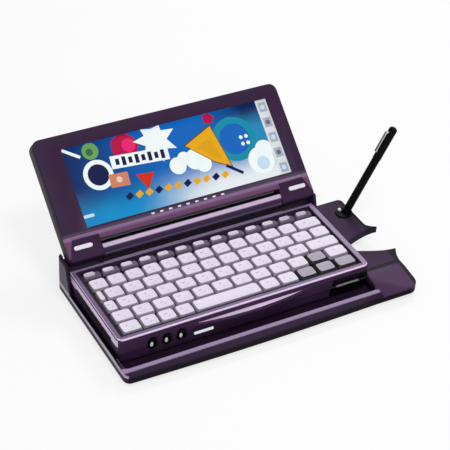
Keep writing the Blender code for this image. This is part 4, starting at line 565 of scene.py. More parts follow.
def ring_points(left, right, front, back, radius, steps=4):
    """A rounded rectangle's corner points, anticlockwise from the front right corner."""
    radius = min(radius, (right - left) / 2 - 0.0001, (back - front) / 2 - 0.0001)
    points = []
    corners = ((right - radius, front + radius, -90), (right - radius, back - radius, 0),
               (left + radius, back - radius, 90), (left + radius, front + radius, 180))
    for x, y, start in corners:
        for i in range(steps + 1):
            angle = math.radians(start + 90.0 * i / steps)
            points.append((x + radius * math.cos(angle), y + radius * math.sin(angle)))
    return points


def skin(shape, rings, second_finish=0):
    """Joins rings of points, lowest first, into a closed skin; its low bands may take the second finish."""
    made = [[shape.verts.new(point) for point in ring] for ring in rings]
    count = len(made[0])
    for index, (low, high) in enumerate(zip(made, made[1:])):
        for i in range(count):
            face = shape.faces.new((low[i], low[(i + 1) % count], high[(i + 1) % count], high[i]))
            face.material_index = 1 if index < second_finish else 0
    shape.faces.new(list(reversed(made[0])))
    shape.faces.new(made[-1])


def mesh_of(shape, name):
    """The finished mesh of a bmesh."""
    bmesh.ops.recalc_face_normals(shape, faces=shape.faces)
    mesh = bpy.data.meshes.new(name)
    shape.to_mesh(mesh)
    shape.free()
    return mesh


# Keys

KEY_BASE_RADIUS = 0.0017
KEY_TOP_RADIUS = 0.0019
KEY_TOP_INSET = 0.00085
ARROW_TOP_INSET = 0.00130
MARK_HEIGHT = 0.00003
KEY_CROWN = 0.00045
KEY_DISH = 0.00022
# The lowest bands of a cap take the darker skirt finish, painted shade
SKIRT_RINGS = 3
KEY_MOVING_BASE = 0.0213
KEY_PLAIN_BASE = 0.0204
BED_THICKNESS = 0.0009
GASKET_SIDE = 0.0018
GASKET_FRONT = 0.0011
MARK_BAR = 0.0019
MARK_LINE = 0.00028
SOFT_PLATE_DROP = 0.0010
SOFT_BAR_LENGTH = 0.0086
SOFT_BAR_SHIFT = 0.0017
SOFT_BAR_FRONT = 0.0011
SOFT_BAR_BACK = 0.0003


def keycap(shape, left, right, front, back, base, top, inset=KEY_TOP_INSET):
    """One cap: straight foot, sloped sides, a soft shoulder and a shallow dish."""
    slope = (top - base) * 0.35
    profile = [(0.0, base, KEY_BASE_RADIUS), (0.0, base + slope, KEY_BASE_RADIUS),
               (inset * 0.75, top - KEY_CROWN, KEY_TOP_RADIUS * 0.8),
               (inset * 0.95, top - KEY_CROWN * 0.35, KEY_TOP_RADIUS),
               (inset * 1.25, top, KEY_TOP_RADIUS), (inset * 1.7, top - KEY_DISH * 0.3, KEY_TOP_RADIUS),
               (inset * 2.6, top - KEY_DISH, KEY_TOP_RADIUS)]
    rings = []
    for step, z, radius in profile:
        outline = ring_points(left + step, right - step, front + step, back - step, radius)
        rings.append([at(x, y, z) for x, y in outline])
    skin(shape, rings, SKIRT_RINGS)


def key_places():
    """Each key's name or None, and its left, right, front and back sides in the well."""
    places = []
    row_back = WELL_BACK
    soft = [(1.0, "soft")] * SOFT_KEY_COUNT
    left_over = WELL_BACK - KEYS_FRONT - SOFT_KEY_DEPTH - SOFT_KEY_GAP
    rows = [(soft, SOFT_KEY_DEPTH)] + [(row, left_over / len(KEY_ROWS)) for row in KEY_ROWS]
    for index, (row, depth) in enumerate(rows):
        total = sum(share for share, name in row)
        left = KEYS_LEFT
        for share, name in row:
            right = left + (WELL_HALF - KEYS_LEFT) * share / total
            places.append((name, left + KEY_GAP / 2, right - KEY_GAP / 2, row_back - depth + KEY_GAP / 2,
                           row_back - KEY_GAP / 2))
            left = right
        row_back -= depth + (SOFT_KEY_GAP if index == 0 else 0.0)
    return places


def prism(shape, outline, low, high, finish=0, place=at):
    """A thin slab of any outline between two heights."""
    first = len(shape.faces)
    skin(shape, [[place(x, y, low) for x, y in outline], [place(x, y, high) for x, y in outline]])
    shape.faces.ensure_lookup_table()
    for face in shape.faces[first:]:
        face.material_index = finish


def key_marks(shape, left, right, front, back, top, seed, finish):
    """Two small plain marks on a cap: a bar and a dot, set a little differently from key to key."""
    level = top - KEY_DISH
    x = left + (right - left) * (0.34 + 0.05 * (seed % 3))
    y = back - (back - front) * (0.36 + 0.04 * (seed % 2))
    bar = MARK_BAR * (0.8 + 0.25 * ((seed * 5) % 3))
    prism(shape, slab((x, y), bar / 2, MARK_LINE, 0.0), level - MARK_HEIGHT, level + MARK_HEIGHT, finish)
    dot = ((left + right) / 2 + MARK_BAR * (0.3 + 0.2 * (seed % 2)), front + (back - front) * 0.36)
    prism(shape, slab(dot, MARK_LINE * 1.4, MARK_LINE, 0.0), level - MARK_HEIGHT, level + MARK_HEIGHT, finish)


def make_keys():
    """The moving caps on their own bodies, the plain caps as one piece, and the dark film under them."""
    plain = bmesh.new()
    bars = bmesh.new()
    for seed, (name, left, right, front, back) in enumerate(key_places()):
        if name == "soft":
            keycap(bars, left, right, front, back, KEY_PLAIN_BASE, KEY_TOP - SOFT_PLATE_DROP, 0.0005)
            middle = (left + right) / 2 - SOFT_BAR_SHIFT
            keycap(plain, middle - SOFT_BAR_LENGTH / 2, middle + SOFT_BAR_LENGTH / 2,
                   front + SOFT_BAR_FRONT, back - SOFT_BAR_BACK, KEY_PLAIN_BASE, KEY_TOP, 0.0003)
        elif name is None:
            keycap(plain, left, right, front, back, KEY_PLAIN_BASE, KEY_TOP)
            if right - left > MARK_BAR * 3:
                key_marks(plain, left, right, front, back, KEY_TOP, seed, 2)
        else:
            shape = bmesh.new()
            arrow = "arrow" in name
            keycap(shape, left, right, front, back, KEY_MOVING_BASE, KEY_TOP,
                   ARROW_TOP_INSET if arrow else KEY_TOP_INSET)
            if name != "space":
                key_marks(shape, left, right, front, back, KEY_TOP, seed, 2)
            node = name + "_key"
            parts = ["arrow_plastic", "arrow_skirt"] if arrow else ["key_plastic", "key_skirt"]
            new_piece(name + "_cap", mesh_of(shape, name + "_cap"), node, SLOTS[node], (node,),
                      [FINISH[part] for part in parts + ["key_mark"]])
    new_piece("plain_key_caps", mesh_of(plain, "plain_key_caps"), "handheld", "key_plastic",
              finishes=[FINISH[part] for part in ("key_plastic", "key_skirt", "key_mark")])
    new_piece("soft_key_plates", mesh_of(bars, "soft_key_plates"), "handheld", "key_plastic",
              finishes=[FINISH["soft_key_plate"], FINISH["soft_key_plate"]])
    bed = bmesh.new()
    edge = 0.0018
    floor = [at(x, y, KEY_PLAIN_BASE - 0.0012) for x, y in
             ring_points(-WELL_HALF - edge, WELL_HALF + edge, WELL_FRONT - edge, WELL_BACK + edge, 0.001)]
    skin(bed, [floor, [point + Vector((0.0, 0.0, BED_THICKNESS)) for point in floor]])
    new_piece("key_bed", mesh_of(bed, "key_bed"), "handheld", "key_plastic", ("keyboard_frame",),
              [FINISH["key_bed"]])


def make_gasket():
    """The soft black border between the keys and the deck's rim."""
    shape = bmesh.new()
    outer = ring_points(-WELL_HALF - GASKET_SIDE, WELL_HALF + GASKET_SIDE * 0.5, WELL_FRONT - GASKET_FRONT,
                        WELL_BACK + GASKET_FRONT, 0.0014)
    inner = ring_points(-WELL_HALF - 0.00005, WELL_HALF + 0.00005, WELL_FRONT - 0.00005,
                        WELL_BACK + 0.00005, 0.0004)
    low, high = DECK_TOP - 0.0002, DECK_TOP + 0.0001
    made = []
    for outline, z in ((outer, low), (outer, high), (inner, high), (inner, low)):
        made.append([shape.verts.new(at(x, y, z)) for x, y in outline])
    count = len(outer)
    for first, second in zip(made, made[1:] + made[:1]):
        for i in range(count):
            shape.faces.new((first[i], first[(i + 1) % count], second[(i + 1) % count], second[i]))
    new_piece("key_well_border", mesh_of(shape, "key_well_border"), "handheld", "rubber")


# The screen's picture: a plain design of simple shapes

SCREEN_LOW = Vector((-HALF_CASE + 0.0180, 0.0149))
SCREEN_HIGH = Vector((HALF_CASE - 0.0105, HINGE_Y - 0.0095))
LAYER = 0.00002
STRIP_SHARE = 0.945
PANEL_EDGE = 0.0001
PANEL_CORNER = 0.0004
PICTURE_COLOURS = {
    "teal": (0.01, 0.24, 0.34), "blue": (0.01, 0.12, 0.46), "crimson": (0.42, 0.006, 0.06),
    "rose": (0.72, 0.02, 0.14), "leaf": (0.13, 0.32, 0.10), "moss": (0.04, 0.12, 0.05),
    "white": (0.80, 0.86, 0.86), "ice": (0.50, 0.68, 0.80), "amber": (0.72, 0.36, 0.010),
    "gold": (0.66, 0.32, 0.010), "umber": (0.10, 0.055, 0.02), "brick": (0.55, 0.03, 0.01),
    "coral": (0.58, 0.20, 0.12),
    "cream": (0.70, 0.55, 0.40), "navy": (0.006, 0.010, 0.06), "paper": (0.66, 0.68, 0.72),
    "haze": (0.36, 0.40, 0.46), "slate": (0.12, 0.15, 0.22),
}


def on_screen(share_x, share_y):
    """A point of the picture in the lid's plane, from shares of its width and height."""
    return (SCREEN_LOW.x + (SCREEN_HIGH.x - SCREEN_LOW.x) * share_x,
            SCREEN_LOW.y + (SCREEN_HIGH.y - SCREEN_LOW.y) * share_y)


def star(middle, outer, inner, points, turn=0.0):
    """A star's outline; with inner equal to outer it is a round or many-sided shape."""
    outline = []
    for i in range(points * 2):
        radius = outer if i % 2 == 0 else inner
        angle = math.pi * i / points + turn
        outline.append((middle[0] + radius * math.cos(angle), middle[1] + radius * math.sin(angle)))
    return outline


def disc(middle, radius):
    """A round outline."""
    return star(middle, radius, radius, 16)


def slab(middle, half_length, half_width, turn):
    """A turned rectangle's outline."""
    along = Vector((math.cos(turn), math.sin(turn)))
    across = Vector((-along.y, along.x))
    centre = Vector(middle)
    corners = ((-1, -1), (1, -1), (1, 1), (-1, 1))
    return [tuple(centre + along * a * half_length + across * b * half_width) for a, b in corners]


def drawn(shares, size):
    """An outline given in shares of the picture, grown or shrunk about its middle."""
    middle_x = sum(x for x, y in shares) / len(shares)
    middle_y = sum(y for x, y in shares) / len(shares)
    return [on_screen(middle_x + (x - middle_x) * size, middle_y + (y - middle_y) * size) for x, y in shares]


def inside_screen(point):
    """The point, moved onto the picture's edge where it lies outside."""
    return (min(max(point[0], SCREEN_LOW.x), SCREEN_HIGH.x), min(max(point[1], SCREEN_LOW.y), SCREEN_HIGH.y))


def picture_shapes():
    """Colour name, layer and outline of every shape in the picture."""
    tilt = math.radians(4.0)
    kite = [(0.555, 0.668), (0.664, 0.389), (0.734, 0.284), (0.696, 0.832)]
    shapes = [("teal", 1, disc(on_screen(0.79, 0.60), 0.0165)),
              ("blue", 2, disc(on_screen(0.79, 0.60), 0.0115)),
              ("crimson", 1, star(on_screen(0.285, 0.84), 0.0105, 0.0098, 5)),
              ("rose", 2, disc(on_screen(0.305, 0.85), 0.0050)),
              ("leaf", 1, disc(on_screen(0.130, 0.89), 0.0060)),
              ("moss", 2, disc(on_screen(0.125, 0.88), 0.0026)),
              ("white", 3, star(on_screen(0.430, 0.83), 0.0165, 0.0085, 7, 0.3)),
              ("umber", 3, drawn(kite, 1.07)),
              ("amber", 4, drawn(kite, 1.0)),
              ("gold", 5, drawn(kite, 0.55)),
              ("crimson", 2, star(on_screen(0.700, 0.93), 0.0048, 0.0036, 5)),
              ("navy", 5, slab(on_screen(0.742, 0.235), 0.0068, 0.0011, math.radians(-38))),
              ("white", 1, disc(on_screen(0.492, 0.454), 0.0062)),
              ("white", 1, disc(on_screen(0.530, 0.520), 0.0050)),
              ("white", 1, disc(on_screen(0.578, 0.478), 0.0075)),
              ("white", 1, disc(on_screen(0.610, 0.400), 0.0060)),
              ("white", 3, disc(on_screen(0.880, 0.26), 0.0100)),
              ("white", 3, disc(on_screen(0.910, 0.38), 0.0070)),
              ("ice", 4, disc(on_screen(0.885, 0.22), 0.0050)),
              ("white", 1, disc(on_screen(0.132, 0.59), 0.0108)),
              ("navy", 2, disc(on_screen(0.132, 0.59), 0.0076)),
              ("white", 3, slab(on_screen(0.336, 0.665), 0.0215, 0.0046, -tilt)),
              ("brick", 2, star(on_screen(0.333, 0.402), 0.0078, 0.0039, 3, math.radians(25))),
              ("coral", 3, slab(on_screen(0.215, 0.470), 0.0070, 0.0048, -tilt)),
              ("cream", 4, disc(on_screen(0.215, 0.475), 0.0022)),
              ("white", 1, slab(on_screen(0.045, 0.915), 0.0068, 0.0011, math.radians(-35))),
              ("ice", 1, slab(on_screen(0.030, 0.145), 0.0042, 0.0011, 0.0))]
    for i in range(8):
        shapes.append(("navy", 4, slab(on_screen(0.232 + 0.030 * i, 0.685 - 0.0060 * i),
                                       0.0014, 0.0032 if i % 2 else 0.0022, -tilt)))
    for i in range(11):
        shapes.append(("amber" if i % 3 else "navy", 3,
                       slab(on_screen(0.235 + 0.0455 * i, 0.247 - 0.0045 * i), 0.0024, 0.0019, 0.5)))
    for i in range(4):
        middle = on_screen(0.821 + 0.026 * (i % 2), 0.515 + 0.085 * (i // 2))
        shapes.append(("white", 3, disc(middle, 0.0014)))
    return [(colour, layer, [inside_screen(point) for point in outline]) for colour, layer, outline in shapes]


def strip_shapes():
    """The column of plain tabs at the screen's right side."""
    shapes = [("paper", 6, slab(on_screen((1 + STRIP_SHARE) / 2, 0.5),
                                (SCREEN_HIGH.x - SCREEN_LOW.x) * (1 - STRIP_SHARE) / 2,
                                (SCREEN_HIGH.y - SCREEN_LOW.y) / 2, 0.0))]
    for i in range(5):
        middle = on_screen((1 + STRIP_SHARE) / 2, 0.10 + 0.20 * i)
        shapes.append(("haze", 7, slab(middle, 0.0030, 0.0036, 0.0)))
        shapes.append(("slate" if i % 2 else "ice", 8, disc(middle, 0.0018)))
    return shapes


def make_screen():
    """The lit panel and the shapes that lie on it."""
    low, high = lid_box("touch_panel")
    panel = bmesh.new()
    rings = []
    for z, inset in ((low.z, 0.0), (high.z - PANEL_EDGE, 0.0), (high.z, PANEL_EDGE)):
        outline = ring_points(low.x + inset, high.x - inset, low.y + inset, high.y - inset, PANEL_CORNER)
        rings.append([LID_FRAME @ Vector((x, y, z)) for x, y in outline])
    skin(panel, rings)
    new_piece("screen_panel", mesh_of(panel, "screen_panel"), "lid", SLOTS["touch_panel"], ("touch_panel",))
    names = list(PICTURE_COLOURS)
    shape = bmesh.new()
    for colour, layer, outline in picture_shapes() + strip_shapes():
        prism(shape, outline, high.z - PANEL_EDGE, high.z + LAYER * (layer + 2), names.index(colour),
              lambda x, y, z: LID_FRAME @ Vector((x, y, z)))
    new_piece("screen_shapes", mesh_of(shape, "screen_shapes"), "lid", "screen_glass",
              finishes=[lit("screen_" + name, PICTURE_COLOURS[name]) for name in names])


# The mouldings, with their edges eased

SHELL_EDGES = {
    "cradle_base_plate": ("cradle_cover_plate", "cradle", 0.0002),
    "status_light": ("front_light_bar", "handheld", 0.00025),
    "record_button": ("first_front_button", "record_button", 0.00045),
    "play_button": ("second_front_button", "play_button", 0.00045),
    "wake_button": ("third_front_button", "wake_button", 0.00045),
    "card_blank": ("slot_card", "card", 0.00030),
    "modem_jack": ("side_socket", "handheld", 0.00015),
    "dock_port": ("docking_port_shell", "handheld", 0.00015),
    "dock_connector": ("docking_plug_body", "cradle", 0.00025),
    "power_jack": ("power_socket", "cradle", 0.00025),
    "sync_jack": ("data_socket", "cradle", 0.00025),
    "pen_socket": ("pen_holder", "cradle", 0.00025),
    "pen_clip": ("pen_spring_clip", "pen", 0.00015),
    "pen_barrel": ("pen_body", "pen", 0.00015),
    "pen_cap": ("pen_top", "pen", 0.00015),
    "pen_nib": ("pen_point", "pen", 0.00010),
    "stylus_cap": ("stylus_top", "stylus", 0.00015),
    "stylus_shaft": ("stylus_body", "stylus", 0.00015),
}


# Places on the mouldings, and how far a face may lean to count as a top or a side
LIP_LEVEL = 0.93
LIP_DROP = 0.0048
DECK_RIM_FRONT = 0.0033
DECK_RIM_RIGHT = 0.0040
DECK_RIM_LEFT = 0.0032
DECK_STRIP_BACK = 0.0752
# The band of painted highlight down the deck's left side
SIDE_HIGHLIGHT_LOW = 0.0170
SIDE_HIGHLIGHT_HIGH = 0.0222
LID_FOOT_HALF = 0.072
EAR_INNER = 0.0696
EAR_TOP = 0.0098
SLOT_LEFT = 0.0640
RIM_FRONT = -0.0060
CRADLE_FLAT_ANGLE = math.radians(0.1)
CRADLE_LIP_FRONT = -0.0140
RIDGE_LOW = 0.0080
RIDGE_HIGH = 0.0125
RIDGE_REACH = 0.088
DECK_EDGE_DEPTH = 0.0012
DECK_EDGE_SIDE = 0.0022
DECK_EDGE_FRONT = 0.0020
DECK_EDGE_BACK = 0.004
DECK_TOP_DEPTH = 0.0005
PALE_EDGE_BACK = 0.0010
LIP_BACK = -0.0005
LIP_SLACK = 0.0004
SIDE_HIGHLIGHT_DEPTH = 0.0020
SLOT_DEPTH = 0.0045
BEZEL_FOOT_TOP = 0.0145
LID_FOOT_LOW = 0.0020
LID_FOOT_HIGH = 0.0075
CRADLE_FOOT = 0.002
RIM_INNER = HALF_CASE + 0.0008
RIM_OUTER = HALF_CASE + 0.001
RIM_TOP = 0.012
BLOCK_LEFT = HALF_CASE + 0.0009
NOTCH_FRONT = 0.036
NOTCH_BACK = 0.050
NOTCH_LOW = 0.006
TRAY_FRONT = -0.0115
TRAY_TOP = 0.0035
APRON_BACK = 0.004
FACING = 0.9


def deck_line(place):
    """Whether a place lies on the outer rim of the deck."""
    on_top = place.z > DECK_TOP - DECK_EDGE_DEPTH
    outside = abs(place.x) > HALF_CASE - DECK_EDGE_SIDE or place.y < DECK_EDGE_FRONT
    return on_top and outside and place.y < WELL_BACK + DECK_EDGE_BACK


def on_deck_top(place, normal):
    """Whether a face belongs to the deck's flat top."""
    return normal.z > FACING and place.z > DECK_TOP - DECK_TOP_DEPTH


def on_left_rim(place, normal):
    """Whether a face belongs to the cradle's left rim."""
    return place.x < -RIM_INNER


def cradle_line(place):
    """Whether a place lies on the cradle's left rim or its front lip."""
    left_rim = place.x < -HALF_CASE and place.y < WELL_BACK
    front_lip = CRADLE_LIP_FRONT < place.y < 0.0 and place.x < RIM_OUTER
    return place.z > CRADLE_FOOT and (left_rim or front_lip)


def ridge_line(place):
    """Whether a place lies on the long ridge at the foot of the bezel."""
    local = in_lid(place)
    return RIDGE_LOW < local.y < RIDGE_HIGH and abs(local.x) < RIDGE_REACH


def deck_paint(place, normal, index):
    """Painted highlights take the palest finish on the deck's front edge, the lip's top and a band down the
    left side; the front and left rims and, paler, the right rim and the rear strip take lighter copies of the
    case plastic as painted light.
    """
    front_edge = place.y < PALE_EDGE_BACK and place.z > DECK_TOP - DECK_EDGE_DEPTH and 0.3 < normal.z < 0.95
    lip_top = place.y < LIP_BACK and normal.z > LIP_LEVEL and abs(place.z - DECK_TOP + LIP_DROP) < LIP_SLACK
    side_highlight = on_left_side(place, normal) and SIDE_HIGHLIGHT_LOW < place.z < SIDE_HIGHLIGHT_HIGH
    if front_edge or lip_top or side_highlight:
        return 1
    if index == 0 and on_deck_top(place, normal):
        if place.y > DECK_STRIP_BACK or (place.x > HALF_CASE - DECK_RIM_RIGHT and place.y < WELL_BACK):
            return 3
        if place.y < DECK_RIM_FRONT or place.x < -HALF_CASE + DECK_RIM_LEFT:
            return 2
    return index


def on_left_side(place, normal):
    """Whether a face belongs to the deck's left side."""
    return normal.x < -FACING and place.x < -HALF_CASE + SIDE_HIGHLIGHT_DEPTH


def on_belly_front(place, normal):
    """Whether a face belongs to the belly's front."""
    return normal.y < -0.7


def belly_paint(place, normal, index):
    """The belly is painted gloss black below the stylus' mouth, as painted shade."""
    return 1 if place.x > SLOT_LEFT and place.y < SLOT_DEPTH and normal.z > -0.5 else index


def in_lid(place):
    """A place of the case, in the lid's frame."""
    return LID_FRAME.inverted() @ (place + at(0.0, 0.0, 0.0))


def on_bezel_foot(place, normal):
    """Whether a face belongs to the bezel's front below the screen."""
    return (LID_FRAME.to_3x3().inverted() @ normal).z > FACING and in_lid(place).y < BEZEL_FOOT_TOP


def bezel_paint(place, normal, index):
    """The bezel's two ears keep its plain colour."""
    local = in_lid(place)
    return 2 if index == 0 and abs(local.x) > EAR_INNER and local.y < EAR_TOP else index


def lid_paint(place, normal, index):
    """The lid's foot between its ears takes the near-black finish, as painted shade behind the barrel."""
    local = in_lid(place)
    facing = LID_FRAME.to_3x3().inverted() @ normal
    on_foot = LID_FOOT_LOW < local.y < LID_FOOT_HIGH and abs(local.x) < LID_FOOT_HALF
    return 1 if facing.y < -0.5 and on_foot else index


def cradle_paint(place, normal, index):
    """Painted light and shade on the cradle by place: the block takes its own painted finish; the notch's far
    wall, the tray floor and the up-facing faces at the tray's front take painted shade; the left rim's
    outside and rounded edges take its painted light and shade; the rest of the left rim takes near black as
    painted shade.
    """
    if place.x > BLOCK_LEFT:
        in_notch = normal.y < -0.7 and NOTCH_FRONT < place.y < NOTCH_BACK and place.z > NOTCH_LOW
        return 3 if in_notch else 2
    if index == 1:
        return 4 if place.x < -HALF_CASE and place.y > RIM_FRONT else 1
    if normal.x < -0.6 and place.x < -RIM_OUTER:
        return 4
    if place.x < -HALF_CASE and place.y > RIM_FRONT and place.z < RIM_TOP:
        return 5
    inside = abs(place.x) < RIM_INNER and place.y > TRAY_FRONT
    if inside and (place.z < TRAY_TOP or (place.y < APRON_BACK and normal.z > 0.3)):
        return 3
    return index


def make_mouldings():
    """Every moulded shell with eased edges, and with the painted highlights, light and shade that its
    finishes and paint give.
    """
    for node, (name, body, width) in SHELL_EDGES.items():
        rounded_copy(node, name, body, width)
    # The cradle: painted highlights on its lip and left rim edges, painted shade in the tray, the notch and
    # on the rim, and painted light and shade on the block
    rounded_copy("cradle_shell", "cradle_moulding", "cradle", 0.00035,
                 [FINISH[part] for part in ("cradle_plastic", "soft_line", "block_plastic", "tray_painted_shade",
                                            "rim_plastic", "dark_plastic")],
                 lined=cradle_line, line_width=0.0008, paint=cradle_paint, flat=CRADLE_FLAT_ANGLE,
                 cuts=[(at(0.0, RIM_FRONT, 0.0), (0.0, 1.0, 0.0), on_left_rim)])
    # The deck: painted highlights on its front and left edges, its lip and a band down its left side, and
    # painted light on its rims and rear strip
    rounded_copy("upper_case", "deck_moulding", "handheld", 0.00030,
                 [FINISH[part] for part in ("aubergine_plastic", "pale_line", "deck_rim_painted_light",
                                            "deck_margin_painted_light")],
                 lined=deck_line, line_width=0.0010, paint=deck_paint,
                 cuts=[(at(HALF_CASE - DECK_RIM_RIGHT, 0.0, 0.0), (1.0, 0.0, 0.0), on_deck_top),
                       (at(-HALF_CASE + DECK_RIM_LEFT, 0.0, 0.0), (1.0, 0.0, 0.0), on_deck_top),
                       (at(0.0, DECK_RIM_FRONT, 0.0), (0.0, 1.0, 0.0), on_deck_top),
                       (at(0.0, DECK_STRIP_BACK, 0.0), (0.0, 1.0, 0.0), on_deck_top),
                       (at(0.0, 0.0, SIDE_HIGHLIGHT_LOW), (0.0, 0.0, 1.0), on_left_side),
                       (at(0.0, 0.0, SIDE_HIGHLIGHT_HIGH), (0.0, 0.0, 1.0), on_left_side)])
    # The belly: gloss-black painted shade below the stylus' mouth
    rounded_copy("lower_case", "belly_moulding", "handheld", 0.00030,
                 [FINISH["aubergine_plastic"], FINISH["gloss_black"]], paint=belly_paint,
                 cuts=[(at(SLOT_LEFT, 0.0, 0.0), (1.0, 0.0, 0.0), on_belly_front)])
    up_the_lid = tuple(LID_FRAME.to_3x3() @ Vector((0.0, 1.0, 0.0)))
    # The bezel: painted highlights on the ridge's upward edges
    rounded_copy("display_bezel", "screen_bezel", "lid", 0.00030,
                 [FINISH[part] for part in ("bezel_plastic", "soft_line", "ear_plastic")],
                 lined=ridge_line, line_width=0.00030, paint=bezel_paint,
                 cuts=[(LID_FRAME @ Vector((0.0, EAR_TOP, 0.0)), up_the_lid, on_bezel_foot),
                       (at(EAR_INNER, 0.0, 0.0), (1.0, 0.0, 0.0), on_bezel_foot),
                       (at(-EAR_INNER, 0.0, 0.0), (1.0, 0.0, 0.0), on_bezel_foot)])
    # The lid: near-black painted shade on its foot between the ears
    rounded_copy("lid_cover", "lid_back_moulding", "lid", 0.00035,
                 [FINISH["lid_plastic"], FINISH["dark_plastic"]], paint=lid_paint)
    # The barrel carries painted highlights and painted shade
    rounded_copy("hinge_barrel", "hinge_tube", "handheld", 0.00035, [FINISH["barrel_plastic"]])
    # The lid's bumpers are pale, as a painted highlight
    for side in ("left", "right"):
        rounded_copy("bumper_" + side, side + "_lid_bumper", "lid", 0.00025, [FINISH["rubber_painted_highlight"]])


# Small marks, painted glints and a painted highlight bar

BUTTON_FIRST_X = -0.0702
BUTTON_PITCH = 0.0105
BUTTON_FACE = 0.0009
BUTTON_MIDDLE = DECK_TOP - 0.0101
# A white dome beside the pen's socket, a painted glint
GLINT_DOME_X = 0.1166
GLINT_DOME_Y = 0.0737
GLINT_DOME_BASE = 0.0133
GLINT_DOME_RADIUS = 0.0015
MARK_ROW_COUNT = 9
MARK_ROW_LEFT = -0.0278
MARK_ROW_PITCH = 0.00674
MARK_ROW_Y = 0.01315
BEZEL_LEVEL = 0.0071
# A grey bar in the stylus' mouth, a painted highlight
HIGHLIGHT_BAR_LEFT = 0.0690
HIGHLIGHT_BAR_RIGHT = 0.0870
HIGHLIGHT_BAR_LOW = 0.0120
HIGHLIGHT_BAR_HIGH = 0.0127
# White ovals on the front buttons, painted glints
GLINT_SHIFT = 0.0012
GLINT_HALF_WIDTH = 0.0011
GLINT_HALF_HEIGHT = 0.0019


def oval(radius_x, radius_z, count=20):
    """An upright oval's outline."""
    return [(radius_x * math.cos(2 * math.pi * i / count), radius_z * math.sin(2 * math.pi * i / count))
            for i in range(count)]


def make_small_marks():
    """White ovals on the front buttons and a white dome beside the pen, both painted glints, the bezel's
    marks, and a grey bar in the stylus' mouth, a painted highlight.
    """
    # Painted glints: a white oval on each front button
    for i, button in enumerate(("record_button", "play_button", "wake_button")):
        x = BUTTON_FIRST_X + BUTTON_PITCH * i - GLINT_SHIFT
        rings = []
        for depth, share in ((-BUTTON_FACE + 0.0001, 1.0), (-BUTTON_FACE - 0.00015, 1.0),
                             (-BUTTON_FACE - 0.00028, 0.75)):
            outline = oval(GLINT_HALF_WIDTH * share, GLINT_HALF_HEIGHT * share)
            rings.append([at(x + a, depth, BUTTON_MIDDLE + b) for a, b in outline])
        shape = bmesh.new()
        skin(shape, rings)
        new_piece(button + "_oval", mesh_of(shape, button + "_oval"), button, "light_lens",
                  finishes=[FINISH["white_mark"]])
    # The white dome beside the pen, a painted glint
    glint_dome = bmesh.new()
    rings = []
    for i in range(5):
        angle = math.radians(18.0 * i)
        radius = GLINT_DOME_RADIUS * math.cos(angle)
        height = GLINT_DOME_BASE + GLINT_DOME_RADIUS * 1.2 * math.sin(angle)
        rings.append([at(GLINT_DOME_X + a, GLINT_DOME_Y + b, height) for a, b in oval(radius, radius)])
    skin(glint_dome, rings)
    new_piece("pen_holder_glint_dome", mesh_of(glint_dome, "pen_holder_glint_dome"), "cradle", "steel",
              finishes=[FINISH["white_mark"]])
    row = bmesh.new()
    for i in range(MARK_ROW_COUNT):
        outline = slab((MARK_ROW_LEFT + MARK_ROW_PITCH * i, MARK_ROW_Y), 0.0012, 0.00055, 0.0)
        prism(row, outline, BEZEL_LEVEL - MARK_HEIGHT, BEZEL_LEVEL + MARK_HEIGHT * 2, 0,
              lambda x, y, z: LID_FRAME @ Vector((x, y, z)))
    new_piece("bezel_mark_row", mesh_of(row, "bezel_mark_row"), "lid", "light_lens",
              finishes=[FINISH["white_mark"]])
    # The grey bar in the stylus' mouth, a painted highlight
    highlight_bar = bmesh.new()
    rings = []
    for depth, inset in ((0.0012, 0.0), (0.0, 0.0), (-0.0001, 0.0001)):
        outline = ring_points(HIGHLIGHT_BAR_LEFT + inset, HIGHLIGHT_BAR_RIGHT - inset, HIGHLIGHT_BAR_LOW + inset, HIGHLIGHT_BAR_HIGH - inset,
                              0.0003)
        rings.append([at(x, depth, z) for x, z in outline])
    skin(highlight_bar, rings)
    new_piece("stylus_mouth_highlight_bar", mesh_of(highlight_bar, "stylus_mouth_highlight_bar"), "handheld", "key_plastic",
              finishes=[FINISH["key_skirt"]])


# Floor, light and camera

FLOOR_HALF = 3.0
FLOOR_DROP = 0.00005
FLOOR_WHITENING = 0.75
WORLD_LIGHT = 0.45
LAMP_TARGET = (0.0, 0.0, 0.02)


def background_rays(tree):
    """1 for rays from the camera and for reflected and refracted ones, which see the background."""
    path = tree.nodes.new("ShaderNodeLightPath")
    total = tree.nodes.new("ShaderNodeMath")
    total.operation = "ADD"
    tree.links.new(path.outputs["Is Camera Ray"], total.inputs[0])
    tree.links.new(path.outputs["Is Glossy Ray"], total.inputs[1])
    limit = tree.nodes.new("ShaderNodeMath")
    limit.operation = "ADD"
    limit.use_clamp = True
    tree.links.new(total.outputs["Value"], limit.inputs[0])
    tree.links.new(path.outputs["Is Transmission Ray"], limit.inputs[1])
    return limit.outputs["Value"]


